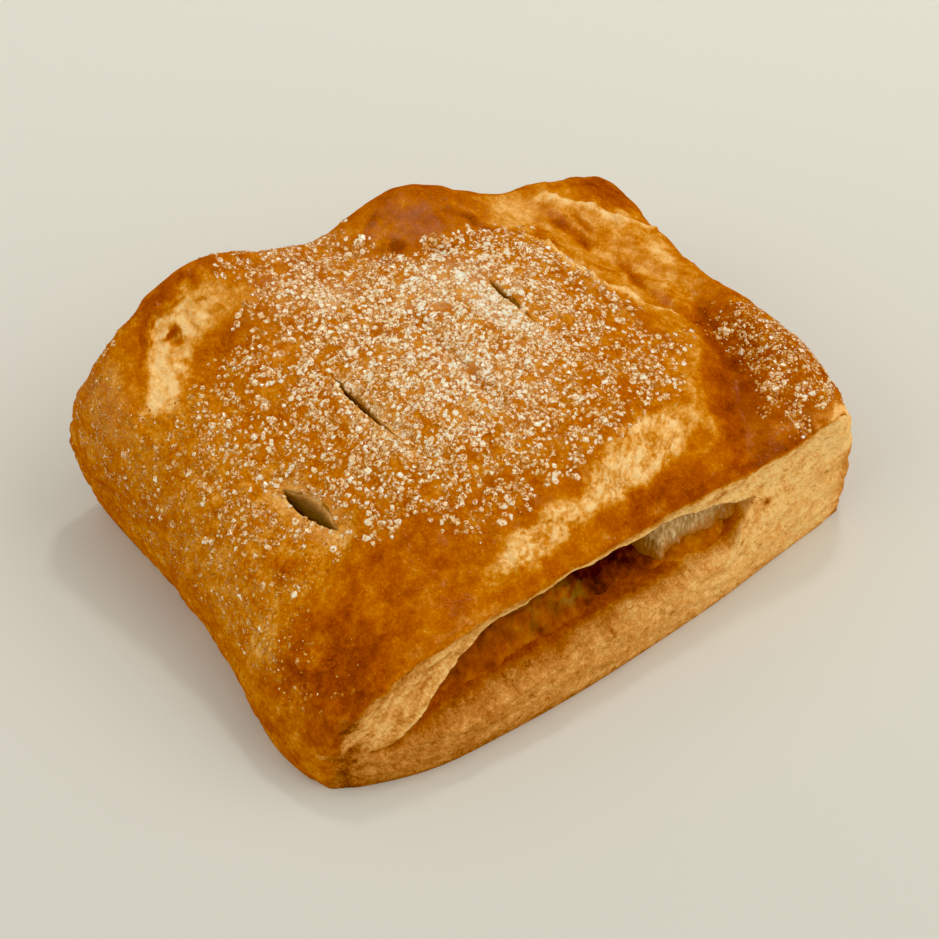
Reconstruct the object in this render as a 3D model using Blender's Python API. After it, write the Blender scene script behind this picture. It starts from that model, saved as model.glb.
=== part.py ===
"""Guava and cheese pastry: a folded puff pastry parcel with an open front edge.

The long side with the open mouth faces -Y and the folded side faces +Y.
Lengths are in millimetres until an object is made, which is in metres.
"""

import math
import random

import bmesh
import bpy
import numpy as np
from mathutils import Euler, Matrix, Vector, noise
from mathutils.bvhtree import BVHTree

MM = 0.001
CLEARANCE = 0.5

# Plan of the parcel at its widest height
FRONT_LEFT = (-58.5, -40.0)
FRONT_RIGHT = (57.5, -40.5)
BACK_RIGHT = (59.5, 42.0)
BACK_LEFT = (-62.0, 45.0)
CORNER_ROUNDING = 0.14
BACK_BULGE = {-62: 0.0, -48: 1.5, -28: 3.0, -8: 1.0, 10: 4.0, 24: 0.5, 36: -0.5, 58: 0.0}
LEFT_BULGE = {-42: 0.5, -26: 0.5, -8: -2.2, 14: -2.0, 34: 0.0, 46: 0.5}
RIGHT_BULGE = {-42: 1.0, -32: 2.4, -22: 2.3, -12: 1.2, -4: 0.2, 8: -1.3, 19: -0.8, 29: 0.7, 38: 0.4, 44: 0.0}
FOOT_BULGE = {-58: 0.0, -50: -2.0, -38: -4.5, -24: -5.0, -6: -4.8, 8: -4.0, 24: -2.9, 40: -1.2, 56: 0.0}
LIP_BULGE = {-58: 0.0, -46: 0.2, -24: 0.8, 0: 1.2, 24: 1.2, 42: 0.6, 56: 0.0}

# How the sides lean: drawn in at the foot, and rounded over below the rim
SIDE_SHARPNESS = 8
FOOT_INSET = {"right": 1.0, "back": 5.0}
LEFT_FOOT_INSET = {-1.0: 0.6, -0.6: 1.0, -0.2: 2.8, 0.15: 4.2, 0.5: 4.4, 0.8: 4.4, 1.0: 4.0}
FOOT_INSET_POWER = 2.2
RIM_INSET = {"left": 3.0, "right": 2.0, "back": 4.0}
RIM_INSET_POWER = 6
RIM_DROP = 3.2
LIP_STEP = (0.46, 0.84)
BAND_BELLY = 0.8
BAND_SHARE = 0.5

# Height of the top sheet along four lines that run from left to right
STATIONS = (-60, -48, -36, -18, 0, 16, 30, 43, 56)
TOP_HEIGHTS = {
    -40: (12.0, 19.0, 23.6, 26.0, 26.6, 26.6, 26.6, 26.6, 28.5),
    -20: (16.0, 23.0, 28.0, 34.5, 36.5, 36.0, 33.5, 30.0, 32.5),
    4: (19.5, 28.5, 33.5, 38.5, 40.5, 40.0, 36.0, 31.0, 30.0),
    38: (31.5, 40.3, 45.5, 45.0, 40.0, 39.5, 36.0, 33.0, 29.8),
}

# Puffed lobes and hollows of the top sheet: middle, radii and height
LOBES = {
    "back_bubble": ((11.0, 38.0), (13.0, 11.5), 4.6),
    "torn_blister": ((-38.5, 28.5), (10.0, 6.5), -3.4),
    "blister_rim": ((-34.0, 41.0), (12.0, 5.0), 3.0),
    "left_shoulder": ((-53.0, 26.0), (4.5, 9.0), 0.8),
    "sugared_corner": ((49.0, -26.0), (9.0, 13.0), 1.4),
    "front_left_swell": ((-38.0, -24.0), (12.0, 9.0), 1.2),
}
LOBE_STEEPNESS = 1.4

# Folds and ridges of the top sheet: start, end, half width and height
CREASES = {
    "right_fold_back": ((47.5, -4.0), (45.0, -18.0), 3.2, -2.6),
    "right_fold_front": ((45.0, -18.0), (33.0, -36.0), 3.0, -1.8),
    "flap_ridge_back": ((22.0, 22.0), (30.0, 6.5), 2.8, 1.4),
    "flap_ridge_front": ((30.0, 6.5), (36.5, -12.0), 2.8, 1.3),
    "flap_hollow": ((31.0, 28.0), (42.0, 8.0), 5.0, -1.8),
    "left_corner_fold": ((-50.5, -40.0), (-47.0, -28.0), 2.6, -1.6),
    "third_slit": ((-2.9, 13.0), (-1.1, -10.0), 1.6, -0.8),
}

# Mouth in the front edge, between the bottom layer and the lip of the top sheet
BAND_TOP = {-50: 7.4, -42: 9.2, -30: 11.0, -18: 12.0, 0: 12.6, 20: 13.0, 39: 13.6}
BAND_BEHIND = (-43.0, -34.0)
BAND_ROUNDING = 2.0
BAND_ROUNDED_AT = (-42.5, -46.5)
LIP_LOW = {-50: 8.0, -42: 11.8, -31: 18.8, -23: 23.2, -12: 25.0, 4: 25.2, 16: 24.3, 26: 21.0, 39: 14.2}
LIP_BEHIND = (-37.0, -24.0)

# Space inside, open to the mouth, with its floor and the sheet over it
INSIDE_X = (-48.0, 39.0)
INSIDE_BACK = 31.0
INSIDE_ROWS = {-1.0: -56.0, -0.8: -45.0, -0.4: -37.5, 0.0: -27.0, 0.4: -8.0, 0.8: 20.0, 1.0: INSIDE_BACK}
FLOOR_HEIGHT = 13.6
SHEET_THICKNESS = 4.2
EDGE_THICKNESS = 0.4

# Guava layer below, cheese layer above, and how far forward each one comes
GUAVA_X = (-43.0, 35.0)
CHEESE_X = (-35.0, 32.0)
FILLING_BACK = 26.0
GUAVA_THICKNESS = 6.5
GUAVA_SHARE = {-43: 0.5, -30: 0.58, -20: 0.58, -6: 0.5, 8: 0.4, 36: 0.36}
CHEESE_THICKNESS = 6.5
FILLING_ROUNDING = 0.25
LAYER_GAP = 1.1
ROOF_GAP = 1.0
LEAST_CHEESE = 0.8
FILLING_LUMPS = 0.04
LUMP_SPACING = (3.1, 3.7)
GUAVA_FRONT = {
    -43: -32.0, -35: -37.0, -26: -39.2, -15: -39.6, -3: -38.4, 3: -34.0,
    8: -31.0, 12: -33.0, 18: -37.5, 29: -37.0, 35: -32.0,
}
CHEESE_FRONT = {
    -35: -20.0, -26: -24.0, -9: -30.0, -4: -36.0, 0: -30.0,
    6: -24.0, 11: -35.0, 16: -37.6, 26: -37.0, 32: -31.0,
}

# Slits cut through the top sheet: middle, length, width and turn in degrees
SLITS = {
    "left_slit": ((-36.7, -5.8), 12.5, 3.0, 16.0),
    "second_slit": ((-20.0, 1.6), 18.0, 1.8, 9.0),
    "fourth_slit": ((13.8, 7.3), 13.0, 1.6, 3.0),
}
SLIT_SIDES = 14
SLIT_PINCH = 0.55
SLIT_BELOW = 3.0
SLIT_ABOVE = 6.0

# Crust relief: lump size and height, and the pale flaky band behind the lip
LUMPS = ((9.0, 0.55), (4.0, 0.4))
LUMPS_START = 3.0
FLAKY_BAND = ((-17.0, -32.0), (26.0, -26.5), 5.0)
FLAKY_LUMPS = (3.2, 1.1)
LAYER_PITCH = 4.4
LAYER_DEPTH = 0.3
LAYER_WANDER = 1.6
WANDER_SIZE = 14.0

# Edges that are rounded: the rims above a height and behind the lip, and the corners
RIM_ABOVE = 6.0
RIM_BEHIND = -36.0
CORNER_FROM = (51.0, 34.0)
UPWARD = 0.93
SMOOTHING_PASSES = 2

# Coarse sugar: the largest crystals and clumps, thickest over the middle
SUGAR_COUNT = 90
SUGAR_RADIUS = (0.95, 1.4)
SUGAR_STRETCH = (0.85, 1.25)
SUGAR_SQUASH = (0.8, 1.0)
SUGAR_AREA = ((-52.0, 52.0), (-34.0, 38.0))
SUGAR_SPACING = 4.0
SUGAR_SUNK = 0.2
SUGAR_SEED = 7
SUGARED = {
    "middle": ((2.0, 8.0), (34.0, 26.0), 1.0),
    "left": ((-44.0, 2.0), (16.0, 30.0), 0.35),
    "corner": ((50.0, -22.0), (8.0, 16.0), 0.8),
}
BARE = {
    "bubble": ((11.0, 42.0), (15.0, 11.0), 1.0),
    "flap": ((44.0, 24.0), (13.0, 20.0), 1.2),
    "blister": ((-38.0, 34.0), (9.0, 9.0), 1.0),
    "flaky_band": ((6.0, -34.0), (36.0, 7.0), 0.9),
}
SLIT_MARGIN = (3.6, 2.0)
ABOVE_ALL = 90.0

BLOCK = {"parcel": (36, 28, 13), "inside": (22, 20, 3), "filling": (15, 11, 2)}
MATERIALS = {
    "pastry_dough": ((0.62, 0.33, 0.11), 0.45),
    "guava_filling": ((0.33, 0.05, 0.03), 0.25),
    "cheese_filling": ((0.80, 0.74, 0.52), 0.4),
}


def curve_through(stations, values, at):
    """Smooth curve through values at uneven stations; a value may vary from point to point."""
    places = np.array(stations, float)
    rows = np.array([np.broadcast_to(value, at.shape) for value in values], float)
    slopes = np.gradient(rows, places, axis=0)
    at = np.clip(at, places[0], places[-1])
    lower = np.clip(np.searchsorted(places, at) - 1, 0, len(places) - 2)
    each = np.arange(at.size)
    step = places[lower + 1] - places[lower]
    t = (at - places[lower]) / step
    start, end = rows[lower, each], rows[lower + 1, each]
    leave, arrive = slopes[lower, each] * step, slopes[lower + 1, each] * step
    return start + (end - start) * t * t * (3 - 2 * t) + leave * t * (1 - t) ** 2 + arrive * t * t * (t - 1)


def profile(table, at):
    """Value of a named line, given as {station: value}, at each place."""
    return curve_through(list(table), list(table.values()), at)


def ease(low, high, value):
    """Rises smoothly from 0 at low to 1 at high."""
    t = np.clip((value - low) / (high - low), 0, 1)
    return t * t * (3 - 2 * t)


def between(low, high, share):
    return low + (high - low) * share


def lobe(x, y, middle, radii, height):
    """Round swelling, or a hollow where the height is negative."""
    reach = ((x - middle[0]) / radii[0]) ** 2 + ((y - middle[1]) / radii[1]) ** 2
    return height * np.exp(-reach ** LOBE_STEEPNESS)


def crease(x, y, start, end, half_width, height):
    """Ridge or fold along a straight run, fading at its ends."""
    run = np.array(end) - np.array(start)
    length = math.hypot(*run)
    along = ((x - start[0]) * run[0] + (y - start[1]) * run[1]) / length
    aside = ((x - start[0]) * run[1] - (y - start[1]) * run[0]) / length
    beyond = np.maximum(0, np.maximum(-along, along - length))
    return height * np.exp(-(aside ** 2 + beyond ** 2) / half_width ** 2)


def top_height(x, y):
    """Height of the top sheet with its lobes, folds and ridges."""
    lines = [curve_through(STATIONS, heights, x) for heights in TOP_HEIGHTS.values()]
    height = curve_through(list(TOP_HEIGHTS), lines, y)
    height = height + sum(lobe(x, y, *shape) for shape in LOBES.values())
    return height + sum(crease(x, y, *shape) for shape in CREASES.values())


def grid_block(columns, rows, layers):
    """Cube from -1 to 1 with its faces divided into a grid."""
    bm = bmesh.new()
    bmesh.ops.create_cube(bm, size=2.0)
    for axis, count in enumerate((columns, rows, layers)):
        edges = [edge for edge in bm.edges if abs((edge.verts[0].co - edge.verts[1].co)[axis]) > MM]
        bmesh.ops.subdivide_edges(bm, edges=edges, cuts=count - 1, use_grid_fill=True)
    return bm


def rounded_square(a, b, rounding):
    """Square from -1 to 1 with its corners drawn in."""
    return a * np.sqrt(1 - rounding * b * b / 2), b * np.sqrt(1 - rounding * a * a / 2)


def plan(a, b):
    """Place in the parcel's plan of a point of the square from -1 to 1."""
    round_a, round_b = rounded_square(a, b, CORNER_ROUNDING)
    s, t = (round_a + 1) / 2, (round_b + 1) / 2
    corners = (FRONT_LEFT, FRONT_RIGHT, BACK_RIGHT, BACK_LEFT)
    shares = ((1 - s) * (1 - t), s * (1 - t), s * t, (1 - s) * t)
    x = sum(share * corner[0] for share, corner in zip(shares, corners))
    y = sum(share * corner[1] for share, corner in zip(shares, corners))
    sideways = profile(RIGHT_BULGE, y) * s ** 3 - profile(LEFT_BULGE, y) * (1 - s) ** 3
    return x + sideways, y + profile(BACK_BULGE, x) * t ** 3


def parcel_points(a, b, c):
    """Closed outer form, from a block whose c runs from 0 at the floor to 1 at the top."""
    x, y = plan(a, b)
    left, right = np.clip(-a, 0, 1) ** SIDE_SHARPNESS, np.clip(a, 0, 1) ** SIDE_SHARPNESS
    front, back = np.clip(-b, 0, 1) ** SIDE_SHARPNESS, np.clip(b, 0, 1) ** SIDE_SHARPNESS
    foot, rim = (1 - c) ** FOOT_INSET_POWER, c ** RIM_INSET_POWER
    x = x + left * (foot * profile(LEFT_FOOT_INSET, b) + rim * RIM_INSET["left"])
    x = x - right * (foot * FOOT_INSET["right"] + rim * RIM_INSET["right"])
    y = y - back * (foot * FOOT_INSET["back"] + rim * RIM_INSET["back"])
    belly = BAND_BELLY * np.sin(math.pi * np.clip(c / BAND_SHARE, 0, 1)) * (1 - a ** SIDE_SHARPNESS)
    lip = between(profile(FOOT_BULGE, x), profile(LIP_BULGE, x), ease(*LIP_STEP, c))
    y = y + front * (lip - belly)
    edge = np.maximum.reduce([left, right, back])
    z = c * (top_height(x, y) - RIM_DROP * edge ** 2)
    return np.stack([x, y, z], 1)


def shaped_block(kind, shape):
    """Grid block whose points are placed by a function of a, b and c."""
    bm = grid_block(*BLOCK[kind])
    block = np.array([vert.co[:] for vert in bm.verts])
    for vert, point in zip(bm.verts, shape(block[:, 0], block[:, 1], (block[:, 2] + 1) / 2)):
        vert.co = point
    bmesh.ops.recalc_face_normals(bm, faces=bm.faces)
    return bm


def floor_height(x, y):
    """Floor of the inside: the bottom layer, rounded over at its front edge."""
    deep = between(profile(BAND_TOP, x), FLOOR_HEIGHT, ease(*BAND_BEHIND, y))
    return deep - BAND_ROUNDING * ease(*BAND_ROUNDED_AT, y)


def mound(x, y):
    """Share of the inside's full height, falling away at its sides and back."""
    aside = np.abs(x - sum(INSIDE_X) / 2) / (INSIDE_X[1] - INSIDE_X[0]) * 2
    behind = np.clip(y / INSIDE_BACK, 0, 1)
    reach = np.clip(np.maximum(aside, behind), 0, 1)
    return np.sqrt(1 - reach ** 6)


def roof_height(x, y):
    """Underside of the top sheet over the inside, down to its lip at the front."""
    floor = floor_height(x, y)
    dome = floor + (top_height(x, y) - SHEET_THICKNESS - floor) * mound(x, y)
    roof = between(profile(LIP_LOW, x), dome, ease(*LIP_BEHIND, y))
    return np.maximum(roof, floor + EDGE_THICKNESS)


def inside_points(a, b, c):
    """Hollow from outside the front edge to the sealed back."""
    x = between(*INSIDE_X, (a + 1) / 2)
    y = profile(INSIDE_ROWS, b)
    floor = floor_height(x, y)
    return np.stack([x, y, between(floor, roof_height(x, y), c)], 1)


def filling_layers(x, y):
    """Bottom and top of the guava, then of the cheese, at each place of the plan."""
    floor, roof = floor_height(x, y), roof_height(x, y)
    lumpy = 1 + FILLING_LUMPS * np.sin(x / LUMP_SPACING[0]) * np.cos(y / LUMP_SPACING[1])
    guava = np.minimum(GUAVA_THICKNESS, profile(GUAVA_SHARE, x) * (roof - floor)) * lumpy
    guava_low = floor + CLEARANCE
    cheese_low = guava_low + guava + LAYER_GAP
    cheese_high = np.minimum(cheese_low + CHEESE_THICKNESS * mound(x, y) * lumpy, roof - ROOF_GAP)
    return guava_low, guava_low + guava, cheese_low, np.maximum(cheese_high, cheese_low + LEAST_CHEESE)


def filling_points(width, front, layer):
    """Shape of one filling: its sides, how far forward it comes, and which pair of layer heights."""
    def points(a, b, c):
        a, b = rounded_square(a, b, FILLING_ROUNDING)
        x = between(*width, (a + 1) / 2)
        y = between(profile(front, x), FILLING_BACK, (b + 1) / 2)
        heights = filling_layers(x, y)
        return np.stack([x, y, between(heights[layer], heights[layer + 1], c)], 1)
    return points


def add_relief(bm):
    """Lumps of the crust, the flaky band behind the lip and the layers seen at the sides."""
    bm.normal_update()
    places = np.array([vert.co[:] for vert in bm.verts])
    flaky = crease(places[:, 0], places[:, 1], *FLAKY_BAND, 1.0)
    for vert, in_band in zip(bm.verts, flaky):
        push = sum(height * noise.noise(vert.co / size) for size, height in LUMPS)
        push += in_band * FLAKY_LUMPS[1] * noise.noise(vert.co / FLAKY_LUMPS[0])
        upright = 1 - min(abs(vert.normal.z) * 2, 1)
        wander = LAYER_WANDER * noise.noise(vert.co / WANDER_SIZE)
        push += upright * LAYER_DEPTH * math.sin(math.tau * (vert.co.z / LAYER_PITCH + wander))
        vert.co += vert.normal * push * min(vert.co.z / LUMPS_START, 1.0)


def close_bottom(bm):
    """One flat face on the floor in place of the grid."""
    flat = [face for face in bm.faces if all(vert.co.z < MM for vert in face.verts)]
    bmesh.ops.dissolve_faces(bm, faces=flat)


def soften_edges(bm):
    """Rounds the rims of the left, back and right sides, and the four upright corners."""
    for smoothing_pass in range(SMOOTHING_PASSES):
        sides = [vert for vert in bm.verts if abs(vert.normal.z) < UPWARD]
        rims = [vert for vert in sides if vert.co.z > RIM_ABOVE and vert.co.y > RIM_BEHIND]
        bmesh.ops.smooth_vert(bm, verts=rims, factor=0.5, use_axis_x=True, use_axis_y=True, use_axis_z=True)
        ends = [vert for vert in sides if abs(vert.co.x) > CORNER_FROM[0]]
        corners = [vert for vert in ends if abs(vert.co.y) > CORNER_FROM[1]]
        bmesh.ops.smooth_vert(bm, verts=corners, factor=0.5, use_axis_x=True, use_axis_y=True)
        bm.normal_update()


def slit_cutter(middle, length, width, turn):
    """Upright leaf-shaped blade through the top sheet."""
    bm = bmesh.new()
    bmesh.ops.create_circle(bm, segments=SLIT_SIDES, radius=1.0, cap_ends=True)
    for vert in bm.verts:
        vert.co.x *= width / 2 * (1 - SLIT_PINCH * vert.co.y ** 2)
        vert.co.y *= length / 2
    surface = top_height(np.array([middle[0]]), np.array([middle[1]]))[0]
    start = surface - SHEET_THICKNESS - SLIT_BELOW
    bm.transform(Matrix.Translation((*middle, start)) @ Matrix.Rotation(math.radians(turn), 4, "Z"))
    grown = bmesh.ops.extrude_face_region(bm, geom=bm.faces[:])
    raised = [item for item in grown["geom"] if isinstance(item, bmesh.types.BMVert)]
    bmesh.ops.translate(bm, verts=raised, vec=(0, 0, surface + SLIT_ABOVE - start))
    bmesh.ops.recalc_face_normals(bm, faces=bm.faces)
    return bm


def sugar_density(x, y):
    """How thickly the sugar lies: most over the middle, none on the bare lobes."""
    thickest = max(lobe(x, y, *area) for area in SUGARED.values())
    return thickest - sum(lobe(x, y, *area) for area in BARE.values())


def off_the_slits(x, y):
    aside, beyond = SLIT_MARGIN
    for middle, length, _, _ in SLITS.values():
        if abs(x - middle[0]) < aside and abs(y - middle[1]) < length / 2 + beyond:
            return False
    return True


def sugar_places():
    """Seeded places, apart from one another and from the slits."""
    draw = random.Random(SUGAR_SEED)
    places = []
    while len(places) < SUGAR_COUNT:
        x, y = (draw.uniform(*span) for span in SUGAR_AREA)
        apart = all(math.dist((x, y), other) > SUGAR_SPACING for other in places)
        if apart and off_the_slits(x, y) and draw.random() < sugar_density(x, y):
            places.append((x, y))
    return places


def make_object(name, bm):
    """Object in metres from a shape in millimetres."""
    bm.transform(Matrix.Scale(MM, 4))
    mesh = bpy.data.meshes.new(name)
    bm.to_mesh(mesh)
    bm.free()
    item = bpy.data.objects.new(name, mesh)
    bpy.context.scene.collection.objects.link(item)
    return item


def add_material(item):
    color, roughness = MATERIALS[item.name]
    material = bpy.data.materials.new(item.name)
    material.use_nodes = True
    surface = material.node_tree.nodes["Principled BSDF"]
    surface.inputs["Base Color"].default_value = (*color, 1.0)
    surface.inputs["Roughness"].default_value = roughness
    item.data.materials.clear()
    item.data.materials.append(material)


def make_sugar(surface, group):
    """Crystals half sunk in the crust, each a small uneven solid."""
    draw = random.Random(SUGAR_SEED + 1)
    for index, (x, y) in enumerate(sugar_places()):
        radius = draw.uniform(*SUGAR_RADIUS)
        point, normal, _, _ = surface.ray_cast(Vector((x, y, ABOVE_ALL)), Vector((0, 0, -1)))
        bm = bmesh.new()
        bmesh.ops.create_icosphere(bm, subdivisions=1, radius=radius)
        wide, deep = (draw.uniform(*SUGAR_STRETCH) for _ in range(2))
        stretch = Matrix.Diagonal((wide, deep, draw.uniform(*SUGAR_SQUASH), 1))
        turned = Euler([draw.uniform(0, math.tau) for _ in range(3)]).to_matrix().to_4x4()
        bm.transform(Matrix.Translation(point - normal * radius * SUGAR_SUNK) @ turned @ stretch)
        crystal = make_object(f"crystal_{index}", bm)
        bpy.context.scene.collection.objects.unlink(crystal)
        group.objects.link(crystal)


def add_boolean(item, operation, tool):
    modifier = item.modifiers.new(operation.lower(), "BOOLEAN")
    modifier.operation = operation
    modifier.solver = "EXACT"
    if isinstance(tool, bpy.types.Collection):
        modifier.operand_type = "COLLECTION"
        modifier.collection = tool
    else:
        modifier.object = tool


def apply_and_remove(item, tools):
    """Keeps the evaluated shape and removes the tools that cut or joined it."""
    evaluated = item.evaluated_get(bpy.context.evaluated_depsgraph_get())
    shaped = bpy.data.meshes.new_from_object(evaluated)
    item.modifiers.clear()
    item.data = shaped
    for tool in tools:
        bpy.data.objects.remove(tool)


def make_dough():
    parcel = shaped_block("parcel", parcel_points)
    soften_edges(parcel)
    add_relief(parcel)
    close_bottom(parcel)
    surface = BVHTree.FromBMesh(parcel)
    dough = make_object("pastry_dough", parcel)
    cutters = [make_object("inside_space", shaped_block("inside", inside_points))]
    cutters += [make_object(name, slit_cutter(*slit)) for name, slit in SLITS.items()]
    for cutter in cutters:
        add_boolean(dough, "DIFFERENCE", cutter)
    apply_and_remove(dough, cutters)
    sugar = bpy.data.collections.new("sugar")
    bpy.context.scene.collection.children.link(sugar)
    make_sugar(surface, sugar)
    add_boolean(dough, "UNION", sugar)
    apply_and_remove(dough, list(sugar.objects))
    bpy.data.collections.remove(sugar)
    return dough


def make_fillings():
    guava = make_object("guava_filling", shaped_block("filling", filling_points(GUAVA_X, GUAVA_FRONT, 0)))
    cheese = make_object("cheese_filling", shaped_block("filling", filling_points(CHEESE_X, CHEESE_FRONT, 2)))
    return [guava, cheese]


def centre_on_floor(items):
    """Puts the origin at the middle of the bottom of the whole pastry's box."""
    corners = np.array([vert.co[:] for item in items for vert in item.data.vertices])
    low, high = corners.min(axis=0), corners.max(axis=0)
    shift = Vector((-(low[0] + high[0]) / 2, -(low[1] + high[1]) / 2, -low[2]))
    for item in items:
        item.data.transform(Matrix.Translation(shift))
    return shift


for old in list(bpy.data.objects):
    bpy.data.objects.remove(old)
pieces = [make_dough()] + make_fillings()
for piece in pieces:
    add_material(piece)
middle_shift = centre_on_floor(pieces)
print("moved to the middle by", [round(value / MM, 2) for value in middle_shift], "mm")
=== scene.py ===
import itertools
import math
import random

import bmesh
import bpy
import numpy as np
from mathutils import Euler, Matrix, Vector
from mathutils.bvhtree import BVHTree


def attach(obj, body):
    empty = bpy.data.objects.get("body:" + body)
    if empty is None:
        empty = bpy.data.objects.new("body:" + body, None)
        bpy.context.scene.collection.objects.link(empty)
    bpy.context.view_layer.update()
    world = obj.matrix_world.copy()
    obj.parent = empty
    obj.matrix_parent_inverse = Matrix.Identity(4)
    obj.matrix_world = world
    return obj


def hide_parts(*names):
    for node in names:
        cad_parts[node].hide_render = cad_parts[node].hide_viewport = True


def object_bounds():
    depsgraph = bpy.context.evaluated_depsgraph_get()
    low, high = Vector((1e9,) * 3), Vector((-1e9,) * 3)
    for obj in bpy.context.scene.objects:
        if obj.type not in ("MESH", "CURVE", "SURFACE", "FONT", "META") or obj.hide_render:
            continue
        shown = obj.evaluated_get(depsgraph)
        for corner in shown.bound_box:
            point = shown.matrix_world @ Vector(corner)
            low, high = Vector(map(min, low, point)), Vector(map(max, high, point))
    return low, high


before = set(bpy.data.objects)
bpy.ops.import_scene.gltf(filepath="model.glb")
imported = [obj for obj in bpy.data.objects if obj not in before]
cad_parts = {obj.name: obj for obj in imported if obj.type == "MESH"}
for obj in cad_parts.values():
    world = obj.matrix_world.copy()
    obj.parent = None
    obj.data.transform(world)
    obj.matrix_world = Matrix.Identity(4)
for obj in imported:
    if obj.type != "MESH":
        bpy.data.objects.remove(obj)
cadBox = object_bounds()
mm = 0.001  # the shapes are worked out in millimetres

# curves and fields that the shapes and colours are drawn with


def curveThrough(stations, values, at):
    # smooth curve through uneven stations; a value may itself be an array
    places = np.array(stations, float)
    rows = np.array([np.broadcast_to(value, at.shape) for value in values], float)
    slopes = np.gradient(rows, places, axis=0)
    at = np.clip(at, places[0], places[-1])
    lower = np.clip(np.searchsorted(places, at) - 1, 0, len(places) - 2)
    each = np.arange(at.size)
    step = places[lower + 1] - places[lower]
    t = (at - places[lower]) / step
    start, end = rows[lower, each], rows[lower + 1, each]
    leave, arrive = slopes[lower, each] * step, slopes[lower + 1, each] * step
    curved = start + (end - start) * t * t * (3 - 2 * t) + leave * t * (1 - t) ** 2
    return curved + arrive * t * t * (t - 1)


def profile(table, at):
    return curveThrough(list(table), list(table.values()), at)


def ease(low, high, value):
    t = np.clip((value - low) / (high - low), 0, 1)
    return t * t * (3 - 2 * t)


def between(low, high, share):
    return low + (high - low) * share


def lobe(x, y, middle, radii, height):
    reach = ((x - middle[0]) / radii[0]) ** 2 + ((y - middle[1]) / radii[1]) ** 2
    return height * np.exp(-reach ** 1.4)


def crease(x, y, start, end, halfWidth, height):
    run = np.array(end) - np.array(start)
    length = math.hypot(*run)
    along = ((x - start[0]) * run[0] + (y - start[1]) * run[1]) / length
    aside = ((x - start[0]) * run[1] - (y - start[1]) * run[0]) / length
    beyond = np.maximum(0, np.maximum(-along, along - length))
    return height * np.exp(-(aside ** 2 + beyond ** 2) / halfWidth ** 2)


def patch(x, y, middle, radii, turn=0.0, soft=0.3):
    # 1 inside a turned oval, 0 outside, soft at its edge
    c, s = math.cos(math.radians(turn)), math.sin(math.radians(turn))
    along = ((x - middle[0]) * c + (y - middle[1]) * s) / radii[0]
    aside = ((y - middle[1]) * c - (x - middle[0]) * s) / radii[1]
    return ease(1 + soft, 1 - soft, np.hypot(along, aside))


def scatter(corner, salt):
    # a repeatable number from -1 to 1 for each whole-numbered place
    n = corner[:, 0] * 73856093 ^ corner[:, 1] * 19349663 ^ corner[:, 2] * 83492791 ^ salt * 2654435
    n = ((n ^ n >> 13) & 0xFFFFFFF) * 1274126177
    return (n >> 9 & 0xFFFF) / 32767.5 - 1


def lumps(points, size, shift=0.0):
    # smooth noise from -1 to 1 over lumps of one size, or of a size for each axis
    scaled = points / np.array(size) + shift
    low = np.floor(scaled).astype(np.int64)
    t = scaled - low
    s = t * t * (3 - 2 * t)
    total = np.zeros(len(points))
    for step in itertools.product((0, 1), repeat=3):
        corner = low + step
        slope = sum(scatter(corner, axis + 1) * (t[:, axis] - step[axis]) for axis in range(3))
        total += np.prod(np.where(step, s, 1 - s), axis=1) * slope
    return 1.6 * total


def cells(points, size, shift=0.0):
    # distance to the border between uneven cells, and a number from 0 to 1 for each cell
    scaled = points / np.array(size) + shift
    low = np.floor(scaled).astype(np.int64)
    first, second, number = np.full((3, len(points)), 9.0)
    for step in itertools.product((-1, 0, 1), repeat=3):
        corner = low + step
        middle = corner + 0.5 + 0.42 * np.stack([scatter(corner, salt) for salt in (1, 2, 3)], 1)
        distance = np.linalg.norm(scaled - middle, axis=1)
        closer = distance < first
        second = np.where(closer, first, np.minimum(second, distance))
        first = np.where(closer, distance, first)
        number = np.where(closer, scatter(corner, 9) / 2 + 0.5, number)
    return second - first, number


def linkObject(name, data):
    item = bpy.data.objects.new(name, data)
    bpy.context.scene.collection.objects.link(item)
    return item


def meshPiece(name, bm):
    bm.transform(Matrix.Scale(mm, 4))
    mesh = bpy.data.meshes.new(name)
    bm.to_mesh(mesh)
    bm.free()
    return linkObject(name, mesh)


def gridBlock(columns, rows, layers):
    bm = bmesh.new()
    bmesh.ops.create_cube(bm, size=2)
    for axis, count in enumerate((columns, rows, layers)):
        along = [e for e in bm.edges if abs((e.verts[0].co - e.verts[1].co)[axis]) > mm]
        bmesh.ops.subdivide_edges(bm, edges=along, cuts=count - 1, use_grid_fill=True)
    return bm


def shapeBlock(bm, shape):
    block = np.array([v.co[:] for v in bm.verts])
    for v, point in zip(bm.verts, shape(block[:, 0], block[:, 1], (block[:, 2] + 1) / 2)):
        v.co = point
    bmesh.ops.recalc_face_normals(bm, faces=bm.faces)
    bm.normal_update()


def placesOf(mesh):
    places = np.zeros(len(mesh.vertices) * 3)
    mesh.vertices.foreach_get("co", places)
    normals = np.zeros(len(mesh.vertices) * 3)
    mesh.vertex_normals.foreach_get("vector", normals)
    return places.reshape(-1, 3) / mm, normals.reshape(-1, 3)


def saveMask(mesh, name, values, domain="POINT"):
    layer = mesh.attributes.get(name) or mesh.attributes.new(name, "FLOAT", domain)
    layer.data.foreach_set("value", np.clip(values, 0, 1).astype(np.float32))


# the folded parcel of dough

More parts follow.
